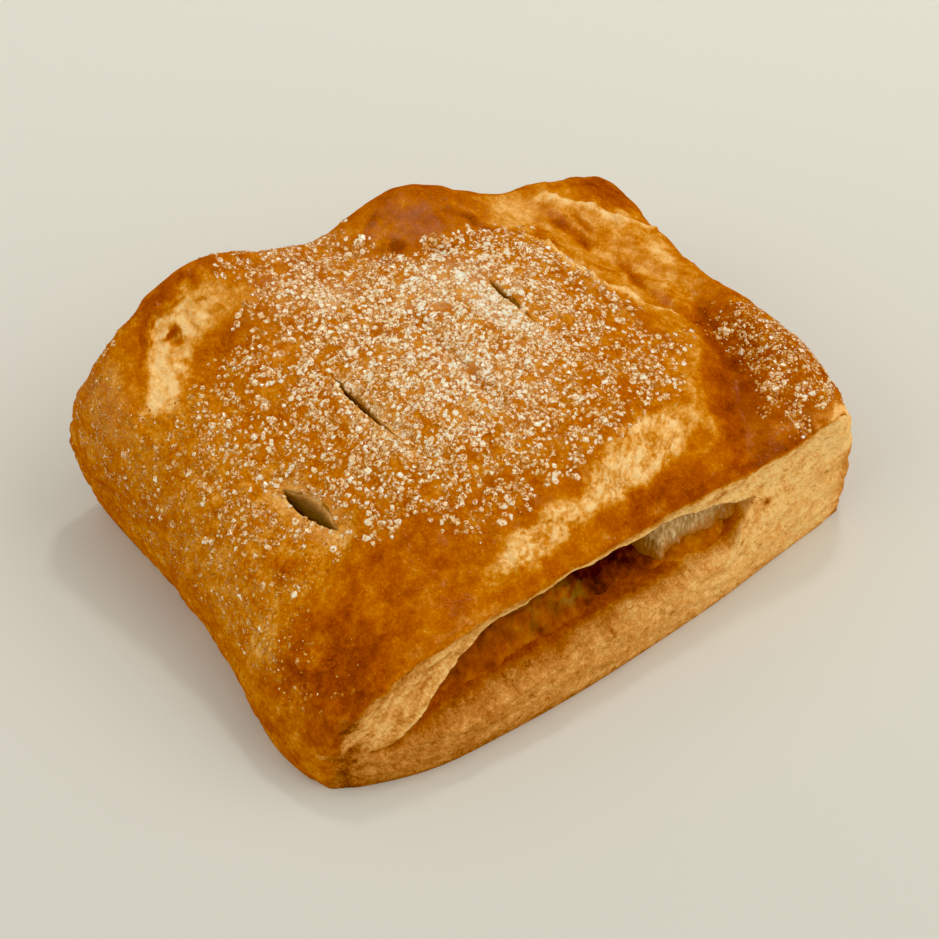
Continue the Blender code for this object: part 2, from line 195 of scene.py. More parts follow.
parcel = {
    "corners": ((-58.5, -40.0), (57.5, -40.5), (59.5, 42.0), (-62.0, 45.0)),
    "cornerRounding": 0.14,
    "backBulge": {-62: 0.0, -48: 1.5, -28: 3.0, -8: 1.0, 10: 4.0, 24: 0.5, 36: -0.5, 58: 0.0},
    "leftBulge": {-42: 0.5, -26: 0.5, -8: -2.2, 14: -2.0, 34: 0.0, 46: 0.5},
    "rightBulge": {-42: 1.0, -32: 2.4, -22: 2.3, -12: 1.2, -4: 0.2, 8: -1.3, 19: -0.8, 29: 0.7,
                   38: 0.4, 44: 0.0},
    "footBulge": {-58: 0.0, -50: -2.0, -38: -4.5, -24: -5.0, -6: -4.8, 8: -4.0, 24: -2.9,
                  40: -1.2, 56: 0.0},
    "lipBulge": {-58: 0.0, -46: 0.2, -24: 0.8, 0: 1.2, 24: 1.2, 42: 0.6, 56: 0.0},
    "leftFootInset": {-1.0: 0.6, -0.6: 1.0, -0.2: 2.8, 0.15: 4.2, 0.5: 4.4, 0.8: 4.4, 1.0: 4.0},
    "leftRimInset": 3.0,
    "rightInsets": (1.0, 2.0),  # at the foot and at the rim
    "backInsets": (5.0, 4.0),
    "rimDrop": 3.2,
    "edgeSharpness": 8,
    "footCurve": 2.2,
    "rimCurve": 6,
    "belly": 0.8,  # how far the lower half of the front swells
    "lipRise": (0.46, 0.84),  # where the foot's line gives way to the lip's
    "blunting": (1.6, 1.4),  # the front-left foot is rounder
    "grid": (214, 172, 44),
    "frontCrowding": 0.12,  # rows stand closer together towards the open edge
}

topSheet = {
    "stations": (-60, -48, -36, -18, 0, 16, 30, 43, 56),
    "heights": {
        -40: (12.0, 19.0, 23.6, 26.0, 26.6, 26.6, 26.6, 26.6, 28.5),
        -20: (16.0, 23.0, 28.0, 34.5, 36.5, 36.0, 33.5, 30.0, 32.5),
        4: (19.5, 28.5, 33.5, 38.5, 40.5, 40.0, 36.0, 31.0, 30.0),
        38: (31.5, 40.3, 45.5, 45.0, 40.0, 39.5, 36.0, 33.0, 29.8),
    },
    "lobes": (
        ((11.0, 38.0), (13.0, 11.5), 4.6),  # bubble at the back
        ((-38.5, 28.5), (10.0, 6.5), -3.4),  # torn blister
        ((-34.0, 41.0), (12.0, 5.0), 3.0),  # rim behind the blister
        ((-53.0, 26.0), (4.5, 9.0), 0.8),
        ((49.0, -26.0), (9.0, 13.0), 1.4),  # sugared corner
        ((-38.0, -24.0), (12.0, 9.0), 1.2),
    ),
    "creases": (
        ((47.5, -4.0), (45.0, -18.0), 3.2, -2.6),  # fold beside the sugared corner
        ((45.0, -18.0), (33.0, -36.0), 3.0, -1.8),
        ((22.0, 22.0), (30.0, 6.5), 2.8, 1.4),  # ridge between the middle and the flap
        ((30.0, 6.5), (36.5, -12.0), 2.8, 1.3),
        ((31.0, 28.0), (42.0, 8.0), 5.0, -1.8),
        ((-50.5, -40.0), (-47.0, -28.0), 2.6, -1.6),  # fold at the left corner
        ((-2.9, 13.0), (-1.1, -10.0), 1.6, -0.8),  # the slit that baked shut
    ),
}

mouth = {
    "bandTop": {-50: 7.4, -42: 9.2, -30: 11.0, -18: 12.0, 0: 12.6, 20: 13.0, 39: 13.6},
    "lipLow": {-50: 8.0, -42: 11.8, -31: 18.8, -23: 23.2, -12: 25.0, 4: 25.2, 16: 24.3, 26: 21.5,
               33: 19.2, 39: 17.2},
    "sides": (-48.0, 39.0),
    "back": 31.0,
    "rows": {-1: -56, -0.9: -47, -0.1: -36, 0.3: -27, 0.7: -8, 0.9: 20, 1: 31.0},  # ends at the back
    "floor": 13.6,
    "floorRise": (-43, -34),
    "frontDrop": 2.0,
    "frontDropReach": (-42.5, -46.5),
    "lipDepth": (-37, -24),  # the lip's low edge gives way to the dome there
    "sheet": 4.2,
    "edge": 0.4,
    "ragged": 0.35,  # how uneven the lip's torn edge is
    "grid": (190, 46, 3),
}

slits = {  # middle, length, width at the top and the bottom, turn, how much wider at the back
    "left": ((-36.9, -5.8), 13.0, 4.2, 0.5, 16.0, 0.0),
    "second": ((-20.0, 1.6), 18.5, 1.4, 0.3, 9.0, 0.7),
    "fourth": ((13.8, 7.3), 13.5, 1.6, 0.4, 3.0, 0.5),
}


def topHeight(x, y):
    lines = [curveThrough(topSheet["stations"], heights, x) for heights in topSheet["heights"].values()]
    height = curveThrough(list(topSheet["heights"]), lines, y)
    height = height + sum(lobe(x, y, *shape) for shape in topSheet["lobes"])
    return height + sum(crease(x, y, *shape) for shape in topSheet["creases"])


def planPlace(a, b):
    rounding = parcel["cornerRounding"]
    s = (a * np.sqrt(1 - rounding * b * b / 2) + 1) / 2
    t = (b * np.sqrt(1 - rounding * a * a / 2) + 1) / 2
    shares = ((1 - s) * (1 - t), s * (1 - t), s * t, (1 - s) * t)
    x = sum(share * corner[0] for share, corner in zip(shares, parcel["corners"]))
    y = sum(share * corner[1] for share, corner in zip(shares, parcel["corners"]))
    sideways = profile(parcel["rightBulge"], y) * s ** 3 - profile(parcel["leftBulge"], y) * (1 - s) ** 3
    return x + sideways, y + profile(parcel["backBulge"], x) * t ** 3


def parcelShape(a, b, c):
    b = b - parcel["frontCrowding"] * (1 - b * b)
    x, y = planPlace(a, b)
    sharp = parcel["edgeSharpness"]
    left, right, front, back = (np.clip(side, 0, 1) ** sharp for side in (-a, a, -b, b))
    foot, rim = (1 - c) ** parcel["footCurve"], c ** parcel["rimCurve"]
    blunt = (np.clip(-a, 0, 1) * np.clip(-b, 0, 1)) ** 6
    x = x + left * (foot * profile(parcel["leftFootInset"], b) + rim * parcel["leftRimInset"])
    x = x - right * (foot * parcel["rightInsets"][0] + rim * parcel["rightInsets"][1])
    y = y - back * (foot * parcel["backInsets"][0] + rim * parcel["backInsets"][1])
    belly = parcel["belly"] * np.sin(math.pi * np.clip(c / 0.5, 0, 1)) * (1 - a ** sharp)
    rise = ease(*parcel["lipRise"], c)
    lip = between(profile(parcel["footBulge"], x), profile(parcel["lipBulge"], x), rise)
    y = y + front * (lip - belly)
    z = c * (topHeight(x, y) - parcel["rimDrop"] * np.maximum.reduce([left, right, back]) ** 2)
    return np.stack([x + parcel["blunting"][0] * blunt, y + parcel["blunting"][1] * blunt, z], 1)


def floorHeight(x, y):
    deep = between(profile(mouth["bandTop"], x), mouth["floor"], ease(*mouth["floorRise"], y))
    return deep - mouth["frontDrop"] * ease(*mouth["frontDropReach"], y)


def mound(x, y):
    left, right = mouth["sides"]
    aside = np.abs(x - (left + right) / 2) / (right - left) * 2
    reach = np.clip(np.maximum(aside, np.clip(y / mouth["back"], 0, 1)), 0, 1)
    return np.sqrt(1 - reach ** 6)


def roofHeight(x, y):
    floor = floorHeight(x, y)
    dome = floor + (topHeight(x, y) - mouth["sheet"] - floor) * mound(x, y)
    roof = between(profile(mouth["lipLow"], x), dome, ease(*mouth["lipDepth"], y))
    return np.maximum(roof, floor + mouth["edge"])


def pores(places, shift=5.0):
    # open pores of the baked crumb: how deep each point lies in one, and the pale rim round it
    edges, numbers = cells(places + 0.4 * lumps(places, 1.2, 8.0)[:, None], (1.7, 1.5, 1.0), shift)
    opened = ease(0.74, 0.90, numbers)
    return opened * ease(0.12, 0.5, edges), opened * ease(0.2, 0.03, edges)


def insideShape(a, b, c):
    x = between(*mouth["sides"], (a + 1) / 2)
    y = profile(mouth["rows"], b)
    floor, roof = floorHeight(x, y), roofHeight(x, y)
    flat = np.stack([x, y, floor * 0], 1)
    torn = ease(-34, -39, y) * ease(0.6, 3.0, roof - floor)
    roof = roof + mouth["ragged"] * torn * (lumps(flat, 2.2) + 0.7 * lumps(flat, 0.8))
    pitted = ease(-36, -41, y) * ease(0.6, 3.0, roof - floor)
    floor = floor + pitted * (0.35 * lumps(flat, 3.5, 4.0) + 0.15 * lumps(flat, 1.3, 9.0))
    floor = floor - pitted * 0.35 * pores(np.stack([x, y, floor], 1))[0]
    # the lip has baked on at the right
    shut = ease(25, 35.5, x + 0.8 * lumps(flat, 2.5, 7.0)) * ease(-30, -35, y)
    x = x - 0.65 * np.maximum(0, x - 33) * ease(-36, -39, y)
    floor = between(floor, np.maximum(roof - 0.03, floor), shut)
    return np.stack([x, y, between(floor, roof, c)], 1)


softening = {
    "rounds": 9,
    "passes": 8,
    "levelNormal": 0.93,  # points that face up or down more than this stay
    "rims": (6, -36),  # above this height and behind this line
    "corners": (51, 34),  # farther out than this
}


def smoothPoints(bm, points, **axes):
    bmesh.ops.smooth_vert(bm, verts=points, factor=0.5, use_axis_x=True, use_axis_y=True, **axes)


def softenEdges(bm):
    # the rims and the upright corners are pressed round, as dough is
    (rimHeight, rimLine), (aside, along) = softening["rims"], softening["corners"]
    for _ in range(softening["rounds"]):
        sides = [v for v in bm.verts if abs(v.normal.z) < softening["levelNormal"]]
        rims = [v for v in sides if v.co.z > rimHeight and v.co.y > rimLine]
        corners = [v for v in sides if abs(v.co.x) > aside and abs(v.co.y) > along]
        for _ in range(softening["passes"]):
            smoothPoints(bm, rims, use_axis_z=True)
            smoothPoints(bm, corners)
        bm.normal_update()


def turned(places, degrees):
    c, s = math.cos(math.radians(degrees)), math.sin(math.radians(degrees))
    x, y, z = places.T
    return np.stack([x * c + y * s, y * c - x * s, z], 1)


def turnedUp(places, degrees):
    # the same, seen on the front face
    c, s = math.cos(math.radians(degrees)), math.sin(math.radians(degrees))
    x, y, z = places.T
    return np.stack([x * c + z * s, y, z * c - x * s], 1)


def tornBlister(x, y):
    steep = patch(x, y, (-42.2, 30.6), (8.0, 4.0), 48, 0.3)
    flat = patch(x, y, (-33.6, 33.4), (7.8, 3.6), -6, 0.4)
    return np.maximum(steep, flat)


def inwardFromSkin(x, y):
    # from the blister's curled skin down to its amber hollow
    return np.minimum((x + 44.3) * 0.76 - (y - 33.2) * 0.65, 36.9 - y)


def flakyBand(x, y):
    left = patch(x, y, (-7.5, -32.8), (13.0, 3.0), 5, 0.3)
    right = patch(x, y, (14.5, -28.8), (13.0, 4.4), 13, 0.3)
    return np.maximum(left, right)


def flakes(places):
    # thin plates of pastry with steep edges: beads at the left, long streaks at the right
    streaks = turned(places, 40) / (2.2, 0.75, 1.4)
    beads = places / (1.15, 1.0, 1.0)
    mixed = between(beads, streaks, ease(4, 12, places[:, 0] + 3 * lumps(places, 4.0, 3.0))[:, None])
    return ease(-0.22, 0.26, lumps(mixed, 1.0) + 0.5 * lumps(mixed, 0.43, 4.0))


def stretches(paths):
    # a path is its points, then the half width and the amount of each stretch between them
    return [(start, end, *shape) for points, *shapes in paths
            for start, end, shape in zip(points, points[1:], shapes)]


def wandering(places):
    # the places moved a little from side to side, so that spots and lines get uneven edges
    x, y = places.T[:2]
    return (x + 1.3 * lumps(places, 4.0, 11.0) + 0.5 * lumps(places, 1.4, 12.0),
            y + 1.3 * lumps(places, 4.0, 21.0) + 0.5 * lumps(places, 1.4, 22.0))


flapArea = (43.0, 14.0), (14.0, 24.0), 10, 0.3
foldArea = (44.0, -14.0), (7.0, 13.0), -15, 0.4
flapRidge = (36.4, 32.1), (38.9, 29.5), (45.1, 25.2), (46.8, 20.6), (54.0, 17.6)
middleRidge = (27.0, 22.4), (29.4, 18.6), (30.4, 6.2), (36.1, 0.2), (41.0, -5.4)
foldStreak = (40.4, -11.7), (35.7, -18.4), (29.4, -31.0)
shortStreak = (32.4, -20.3), (28.1, -27.4)
flapCrease = (36.4, 26.4), (38.0, 17.6)
flapPit = (42.0, 11.0), (40.3, 4.4)
shutSlit = (-2.9, 13.0), (-1.1, -10.0)
cornerCrease = (-46.5, -32.5), (-53.6, -40.4)
reliefPaths = (  # the first is curled skin along the blister, the second the foot of the bubble
    (((-48.8, 28.6), (-44.6, 34.2), (-40.6, 37.4), (-30.0, 37.4)), (0.8, 0.45), (0.8, 0.55), (0.8, 0.4)),
    (((-6.5, 34.5), (0.4, 28.4), (9.6, 24.2), (20.5, 22.4)), (1.5, -1.1), (1.5, -1.1), (1.4, -0.9)),
    (((16.5, 30.5), (22.0, 25.6)), (0.8, -0.5)),
    (flapRidge, (0.8, 0.6), (0.8, 0.7), (0.8, 0.7), (0.8, 0.6)),
    (flapCrease, (1.0, -0.6)),
    (((41.5, 25.0), (41.0, 20.6)), (0.9, -0.5)),
    (middleRidge, (0.8, 0.7), (0.8, 0.7), (0.9, 0.7), (0.9, 0.6)),
    (((33.0, 15.0), (34.5, 4.5), (42.5, -2.0)), (1.6, -0.7), (1.5, -0.6)),  # hollow behind the ridge
    (flapPit, (0.9, -0.5)),
    (foldStreak, (0.8, 0.4), (0.8, 0.4)),
    (shortStreak, (0.7, 0.35)),
    (((47.5, -4.5), (46.0, -9.0), (43.6, -17.5), (34.0, -32.0)), (1.0, -0.2), (1.0, -0.2), (1.2, -0.5)),
    (((-38.5, 0.5), (-35.0, -12.5)), (2.4, -0.7)),  # the crust dips to its slits
    (((-21.6, 10.5), (-17.2, -12.7)), (1.4, -0.8)),
    (((13.4, 13.7), (16.2, -6.0)), (1.2, -0.7)),
    (shutSlit, (0.8, -0.5)),
)
reliefSpots = (
    ((-49.5, 27.5), (2.6, 4.5), -0.9),
    ((3.7, 28.8), (1.0, 0.8), -0.7),
    ((-45.5, -11.0), (1.8, 1.6), 0.4),
)

# how far below the top the crumb begins
crustDrop = {-58: 2.0, -50: 1.6, -44: 0.9, -20: 0.7, -10: 1.1, 2: 0.9, 12: 0.6, 30: 0.7, 58: 0.7}
blisterHole = (-39.6, 32.9), (1.3, 0.9)
crumbPores = (  # the largest pores of the crumb
    ((6.2, -43.4, 12.4), 0.75),
    ((14.3, -42.9, 12.8), 0.85),
    ((25.0, -45.4, 8.0), 0.75),
    ((22.0, -45.8, 5.0), 0.60),
    ((19.0, -44.6, 10.6), 0.60),
    ((-1.5, -44.6, 11.0), 0.60),
    ((-13.0, -44.8, 10.0), 0.65),
    ((31.0, -44.2, 11.6), 0.60),
)


def poreDepth(places):
    return sum(np.exp(-np.sum((places - place) ** 2, axis=1) / radius ** 2)
               for place, radius in crumbPores)


def wrinkles(places, degrees, size, shift):
    return 1 - 2 * np.abs(lumps(turned(places, degrees), size, shift))


def crustRelief(places, normals):
    x, y, z = places.T
    up = ease(0.35, 0.8, normals[:, 2])
    push = 0.45 * lumps(places, 9.0, 3.0) + 0.32 * lumps(places, 4.0, 3.0)
    push += 0.09 * lumps(places, 1.8, 3.0) + 0.03 * lumps(places, 0.8, 5.0)
    warpX, warpY = wandering(places)
    lined = sum(crease(warpX, warpY, *line) for line in stretches(reliefPaths))
    push += up * (lined + sum(lobe(warpX, warpY, *spot) for spot in reliefSpots))
    push += lobe(x, y, *blisterHole, -1.1)
    flap = patch(x, y, *flapArea) * up
    creased = 0.55 * lumps(places, 5.0, 9.0) + 0.42 * wrinkles(places, -50, (7.0, 3.0, 4.0), 6.0)
    push += flap * (creased + 0.14 * lumps(places, 1.2, 7.0))
    fold = patch(x, y, *foldArea) * up
    push += fold * (0.35 * wrinkles(places, -75, (5.0, 1.7, 3.0), 16.0) + 0.15 * lumps(places, 1.3, 17.0))

    band = flakyBand(warpX, warpY) * up
    push += band * (0.1 + 0.3 * flakes(places) + 0.10 * lumps(places, 0.7, 2.0))
    push += crease(x, y, (-17.0, -32.0), (26.0, -26.5), 5.0, 0.5) * lumps(places, 3.2)

    tear = tornBlister(warpX, warpY) * up
    torn = ease(-0.3, 0.3, lumps(places, (1.7, 2.2, 1.7), 31.0) + 0.5 * lumps(places, 0.8, 32.0))
    shallower = between(1, 0.5, ease(3, 8, inwardFromSkin(x, y)))
    push += tear * (0.32 * torn - 0.55 + 0.10 * lumps(places, 0.8, 33.0)) * shallower

    front = ease(0.15, 0.55, -normals[:, 1]) * ease(-34, -37, y)
    front = front * ease(0.4, -0.4, z - topHeight(x, y) + profile(crustDrop, x))
    deep, rim = pores(places)
    crumbly = 0.04 * rim - 0.14 * deep + 0.12 * lumps(places, 1.3, 34.0)
    push += front * (crumbly + 0.07 * lumps(places, 0.7, 35.0))
    push -= 0.6 * poreDepth(places)
    sideways = 1 - np.clip(np.abs(normals[:, 2]) * 2, 0, 1)
    wander = 1.6 * lumps(places, 14.0)
    push += sideways * 0.25 * np.sin(math.tau * (z / 4.4 + wander))
    rugged = ease(-40, -50, x) * (1 - tear)
    push += rugged * (0.20 * lumps(places, 2.4, 43.0) + 0.14 * lumps(places, 1.2, 44.0))
    layered = sideways * ease(-36, -34, y)
    push += layered * 0.16 * np.sin(math.tau * (z / 1.25 + 3 * wander + 0.5 * lumps(places, 3.0, 41.0)))
    groove = crease(x, y, *cornerCrease, 1.3, -0.6) * ease(-31, -34, y)
    push += groove * (1 - band)
    return push * np.clip(z / 3.0, 0, 1)


def slitBlade(middle, length, wide, narrow, turn, lean):
    # a leaf-shaped blade, wider at the top, that goes through the sheet
    surface = topHeight(np.array([middle[0]]), np.array([middle[1]]))[0]
    bm = bmesh.new()
    bmesh.ops.create_cone(bm, cap_ends=True, segments=48, radius1=1, radius2=1, depth=mouth["sheet"] + 9)
    upright = [e for e in bm.edges if abs(e.verts[0].co.z - e.verts[1].co.z) > 0.1]
    bmesh.ops.subdivide_edges(bm, edges=upright, cuts=15, use_grid_fill=True)
    bmesh.ops.translate(bm, verts=bm.verts, vec=(0, 0, surface + 1.5 - mouth["sheet"] / 2))
    places = np.array([v.co[:] for v in bm.verts])
    rough = [0.14 * lumps(places * (1, length / 2, 1), 1.1, shift) for shift in (0.0, 7.0)]
    depth = np.clip((places[:, 2] - surface) / mouth["sheet"] + 1, 0, 1)
    width = between(narrow, wide, depth) / 2 * (1 - 0.55 * places[:, 1] ** 2) * (1 + lean * places[:, 1])
    x = places[:, 0] * width + rough[0]
    y = places[:, 1] * length / 2 * between(0.86, 1, depth) + rough[1]
    c, s = math.cos(math.radians(turn)), math.sin(math.radians(turn))
    for v, placeX, placeY in zip(bm.verts, x * c - y * s, x * s + y * c):
        v.co.x, v.co.y = placeX + middle[0], placeY + middle[1]
    bmesh.ops.recalc_face_normals(bm, faces=bm.faces)
    return bm


def cutAway(piece, cutters):
    for cutter in cutters:
        cut = piece.modifiers.new(cutter.name, "BOOLEAN")
        cut.operation = "DIFFERENCE"
        cut.solver = "MANIFOLD"
        cut.object = cutter
    shaped = bpy.data.meshes.new_from_object(piece.evaluated_get(bpy.context.evaluated_depsgraph_get()))
    piece.modifiers.clear()
    piece.data = shaped
    for cutter in cutters:
        bpy.data.objects.remove(cutter)


def makeDough():
    bm = gridBlock(*parcel["grid"])
    shapeBlock(bm, parcelShape)
    softenEdges(bm)
    middles = np.array([f.calc_center_median()[:] for f in bm.faces])
    fx, fy = middles[:, 0], middles[:, 1]
    detailed = np.maximum(tornBlister(fx, fy), flakyBand(fx, fy))
    chosen = [f for f, amount in zip(bm.faces, detailed) if amount > 0.3 and f.normal.z > 0.5]
    edges = list({e for f in chosen for e in f.edges})
    bmesh.ops.subdivide_edges(bm, edges=edges, cuts=1, use_grid_fill=True)
    flat = [f for f in bm.faces if all(v.co.z < mm for v in f.verts)]
    bmesh.ops.dissolve_faces(bm, faces=flat)
    bm.normal_update()
    places = np.array([v.co[:] for v in bm.verts])
    normals = np.array([v.normal[:] for v in bm.verts])
    push = crustRelief(places, normals)
    for v, amount in zip(bm.verts, push):
        v.co += v.normal * amount
    outer = BVHTree.FromBMesh(bm)
    dough = meshPiece("pastryCrust", bm)
    hollow = gridBlock(*mouth["grid"])
    shapeBlock(hollow, insideShape)
    cutters = [meshPiece("inside", hollow)]
    cutters += [meshPiece(name, slitBlade(*slit)) for name, slit in slits.items()]
    cutAway(dough, cutters)
    return dough, outer


# colours of the crust, by where they are

toneBase = 0.50
toneSpots = (  # middle, radii, turn, how much browner (or paler, below zero)
    # painted light in part: the left side's paleness is its golden crust and also stands in for light on
    # that side
    ((-48.0, 6.0), (11.0, 34.0), 0, -0.09),  # the left side is lighter
    ((2.0, 4.0), (28.0, 22.0), 10, -0.07),  # and the crust under the sugar
    ((-53.9, -17.0), (2.6, 3.2), 0, -0.12),  # golden flecks of the front-left corner
    ((-48.5, -25.5), (2.6, 1.8), 20, -0.12),
    ((-54.8, -29.0), (1.8, 2.6), 0, -0.16),
    ((-51.0, -35.0), (1.6, 1.6), 0, -0.12),
    ((12.0, 34.0), (13.0, 11.0), 0, 0.05),  # the bubble
    ((9.3, 29.4), (3.6, 2.6), 0, 0.06),
    ((3.9, 29.0), (1.2, 1.0), 0, 0.30),
    ((29.6, 29.8), (5.0, 6.0), -20, -0.20),  # pale skin beside the bubble
    ((42.0, 14.0), (12.0, 20.0), 10, -0.19),  # the flap
    ((49.0, 28.4), (6.2, 4.6), 0, 0.22),  # browned peak
    ((31.6, 25.1), (2.3, 1.7), 0, 0.20),
    ((31.2, 20.4), (1.8, 2.6), 0, 0.16),
    ((42.7, 0.3), (2.6, 2.0), 0, 0.14),
    ((49.8, 9.0), (1.8, 2.8), 0, -0.14),
    ((36.0, 9.0), (4.0, 6.0), 0, 0.05),
    ((-36.0, -25.0), (15.0, 7.0), 0, 0.04),
    ((-45.5, -11.0), (2.2, 1.8), 0, 0.14),
    ((-50.0, -30.0), (9.0, 10.0), 0, 0.16),
    ((13.0, -36.6), (8.8, 3.0), 3, 0.15),  # red patch over the lip
    ((40.0, -26.0), (6.0, 12.0), -28, 0.08),  # right fold
    ((47.0, -10.0), (4.0, 8.0), 0, 0.14),
    ((50.0, -26.0), (8.0, 14.0), 0, 0.10),  # sugared corner
    ((50.0, -39.0), (7.0, 2.6), 0, 0.16),
    ((-49.5, 27.0), (2.6, 4.5), 0, -0.04),
)
tonePaths = (
    (((-54.2, -22.5), (-46.5, -31.0), (-36.0, -33.5)), (2.0, 0.05), (2.2, 0.05)),
    (shutSlit, (0.6, 0.09)),
    (((4.7, 37.1), (2.2, 35.2), (-1.6, 33.2)), (0.9, 0.14), (1.0, 0.15)),  # streaks of the bubble
    (((16.5, 30.5), (20.1, 28.0), (23.5, 24.5)), (0.8, 0.16), (0.8, 0.16)),
    (((18.5, 31.5), (26.0, 26.0)), (0.7, -0.12)),
    # painted shade: darker down the fold and crevice beside the sugared corner
    (((47.5, -4.5), (46.0, -9.0), (43.6, -17.5), (33.0, -33.0)), (1.4, 0.12), (1.8, 0.10), (2.4, 0.10)),
    (((20.0, -38.2), (47.0, -38.4)), (1.8, 0.18)),  # over the lip at the right
    (((-49.4, 29.4), (-45.2, 35.2), (-39.5, 38.8), (-26.0, 38.8)), (1.2, 0.06), (1.4, 0.12), (1.8, 0.10)),
    # paler along the flap's ridge: pale skin and painted highlight
    (flapRidge, (0.7, -0.30), (0.8, -0.34), (0.7, -0.34), (0.7, -0.32)),
    # painted shade: darker along the flap's creases
    (flapCrease, (1.2, 0.30)),
    (((41.0, 24.6), (41.0, 21.0)), (1.0, 0.28)),
    # paler along the ridge between the middle and the flap: pale skin and painted highlight
    (middleRidge, (0.7, -0.30), (0.7, -0.32), (0.8, -0.34), (0.8, -0.30)),
    # painted shade: darker in the hollow behind the ridge and in the pit on the flap
    (((32.4, 5.4), (38.0, -1.4)), (0.7, 0.12)),
    (flapPit, (1.0, 0.28)),
    (((39.5, -9.0), (28.8, -28.0)), (2.2, -0.12)),  # thin clear fold
    (foldStreak, (0.6, -0.14), (0.6, -0.14)),
    (shortStreak, (0.7, -0.12)),
    (((-21.4, 10.0), (-18.6, -9.0)), (1.6, -0.20)),  # pale edges of the slits
    (((-39.5, 0.0), (-35.0, -13.0)), (3.2, -0.20)),
    (((12.6, 13.0), (13.4, 0.0)), (1.5, -0.15)),
)
frostSpots = (  # where a film of fine sugar whitens the crust
    ((0.0, 6.0), (17.0, 15.0), 10, 0.10),
    ((-13.5, 24.6), (4.0, 3.2), 0, 0.9),
    ((10.2, 9.0), (3.0, 9.5), 4, 0.9),
    ((6.0, 17.0), (9.0, 5.0), 0, 0.6),
    ((-2.0, 0.0), (3.0, 8.0), 0, 0.45),
    ((-20.0, 0.0), (3.0, 9.0), 9, 0.40),
    ((-37.0, -6.0), (3.2, 7.5), 16, 0.30),
    ((-56.0, 34.0), (5.0, 9.0), 0, 0.20),
    ((0.0, 30.0), (30.0, 8.0), 0, 0.10),
)
bareAreas = (  # nearly no sugar: middle, radii, turn
    ((-47.0, 34.5), (9.0, 3.2), 48),
    ((-38.0, 38.8), (12.0, 3.4), 8),
    ((12.0, 36.0), (15.0, 11.0), -8),
    ((44.0, 16.0), (15.5, 24.0), 10),
    ((37.0, -24.0), (6.0, 15.0), -28),
    ((-42.0, 30.4), (9.0, 5.0), 48),
    ((-33.4, 33.2), (8.8, 4.8), -6),
    ((4.0, -31.5), (30.0, 5.0), 8),
    ((-34.0, -24.0), (16.0, 6.0), -5),
)
crumbTones = {-50: 0.54, -35: 0.48, -3: 0.33, 25: 0.19, 46: 0.12, 58: 0.14}  # paler to the right
# the roof's tone is painted shade under the lip
toneLimits = {"crust": 0.68, "crumb": 0.60, "roof": 0.86}
layerRange = 40  # a mask only holds 0 to 1, so the layers are counted in parts of this


def crustTone(places, normals, up, broad, small):
    x, y = places.T[:2]
    warpX, warpY = wandering(places)
    streaky = lumps(turned(places, 25), (6.0, 1.6, 3.0), 15.0)
    tone = np.full(len(x), toneBase) + 0.08 * broad + 0.05 * small + 0.05 * streaky
    for *area, amount in toneSpots:
        tone += amount * up * patch(warpX, warpY, *area, 0.45)
    for line in stretches(tonePaths):
        tone += up * crease(warpX, warpY, *line)
    # painted light: faces turned to the left are painted paler, standing in for light falling on that side
    tone -= 0.05 * ease(0.3, 0.8, -normals[:, 0]) * ease(0.75, 0.4, normals[:, 2])
    flap = patch(x, y, *flapArea) * up
    # the flap's streaky tone: its own blotches, and painted sheen along its wet streaks
    wet = turned(places, -50)
    tone += flap * (0.10 * lumps(wet, (5.0, 1.5, 3.0), 6.0) + 0.08 * lumps(wet, (2.4, 0.7, 1.5), 8.0))
    band = flakyBand(warpX, warpY) * up
    paler = 0.25 + 0.18 * flakes(places) + 0.10 * lumps(places, 0.6, 2.0)
    tone -= band * (paler + 0.10 * lumps(places, 2.6, 2.0))
    tear = tornBlister(warpX, warpY) * up
    torn = ease(-0.15, 0.15, lumps(places, (1.3, 1.7, 1.3), 31.0) + 0.6 * lumps(places, 0.6, 32.0))
    inward = ease(3.0, 8.0, inwardFromSkin(x, y) + 1.6 * small)
    pale = between(0.36 + 0.14 * torn, 0.08 + 0.10 * torn, inward)
    tone -= tear * pale * between(1, 0.65, ease(-37, -30, x))
    # painted shade: darker in the small hole of the torn blister
    return tone + lobe(x, y, *blisterHole, 0.42)


def cutFaces(places, normals, cut):
    # which points lie on the front, on the mouth's floor and roof, and on the walls of a slit
    x, y, z = places.T
    ny, nz = normals.T[1:]
    front = ease(0.08, 0.4, -ny) * ease(-34.5, -37, y) * (1 - cut)
    floorCut = cut * ease(-0.2, 0.3, nz) * (y < -30)
    roofCut = cut * (nz < -0.1)
    slitWall = cut * (y > -30) * (z > roofHeight(x, y) - 0.2) * (z > 18)
    return front, floorCut, roofCut, slitWall


def crumbShare(places, faces, crustLine, broad, small):
    # 1 where the crumb lies bare, 0 on the crust and under the syrup
    x, y, z = places.T
    front, floorCut, roofCut, slitWall = faces
    overLip = z - profile(mouth["lipLow"], x)
    leftEnd = ease(-1.0, 1.0, x + 53.3 - 0.27 * (z - 6.4) + 0.8 * small)
    crumb = front * ease(0.6, -0.6, z - crustLine) * leftEnd
    crumb = np.maximum(crumb, floorCut * ease(-40.6, -42.4, y + 1.0 * broad + 0.6 * small))
    crumb = np.maximum(crumb, floorCut * ease(29.0, 32.0, x))
    crumb = np.maximum(crumb, front * ease(1.0, 0.4, overLip) * ease(-0.1, 0.1, overLip + 0.4))
    return np.maximum(crumb, np.maximum(roofCut * ease(-34, -38, y), slitWall))


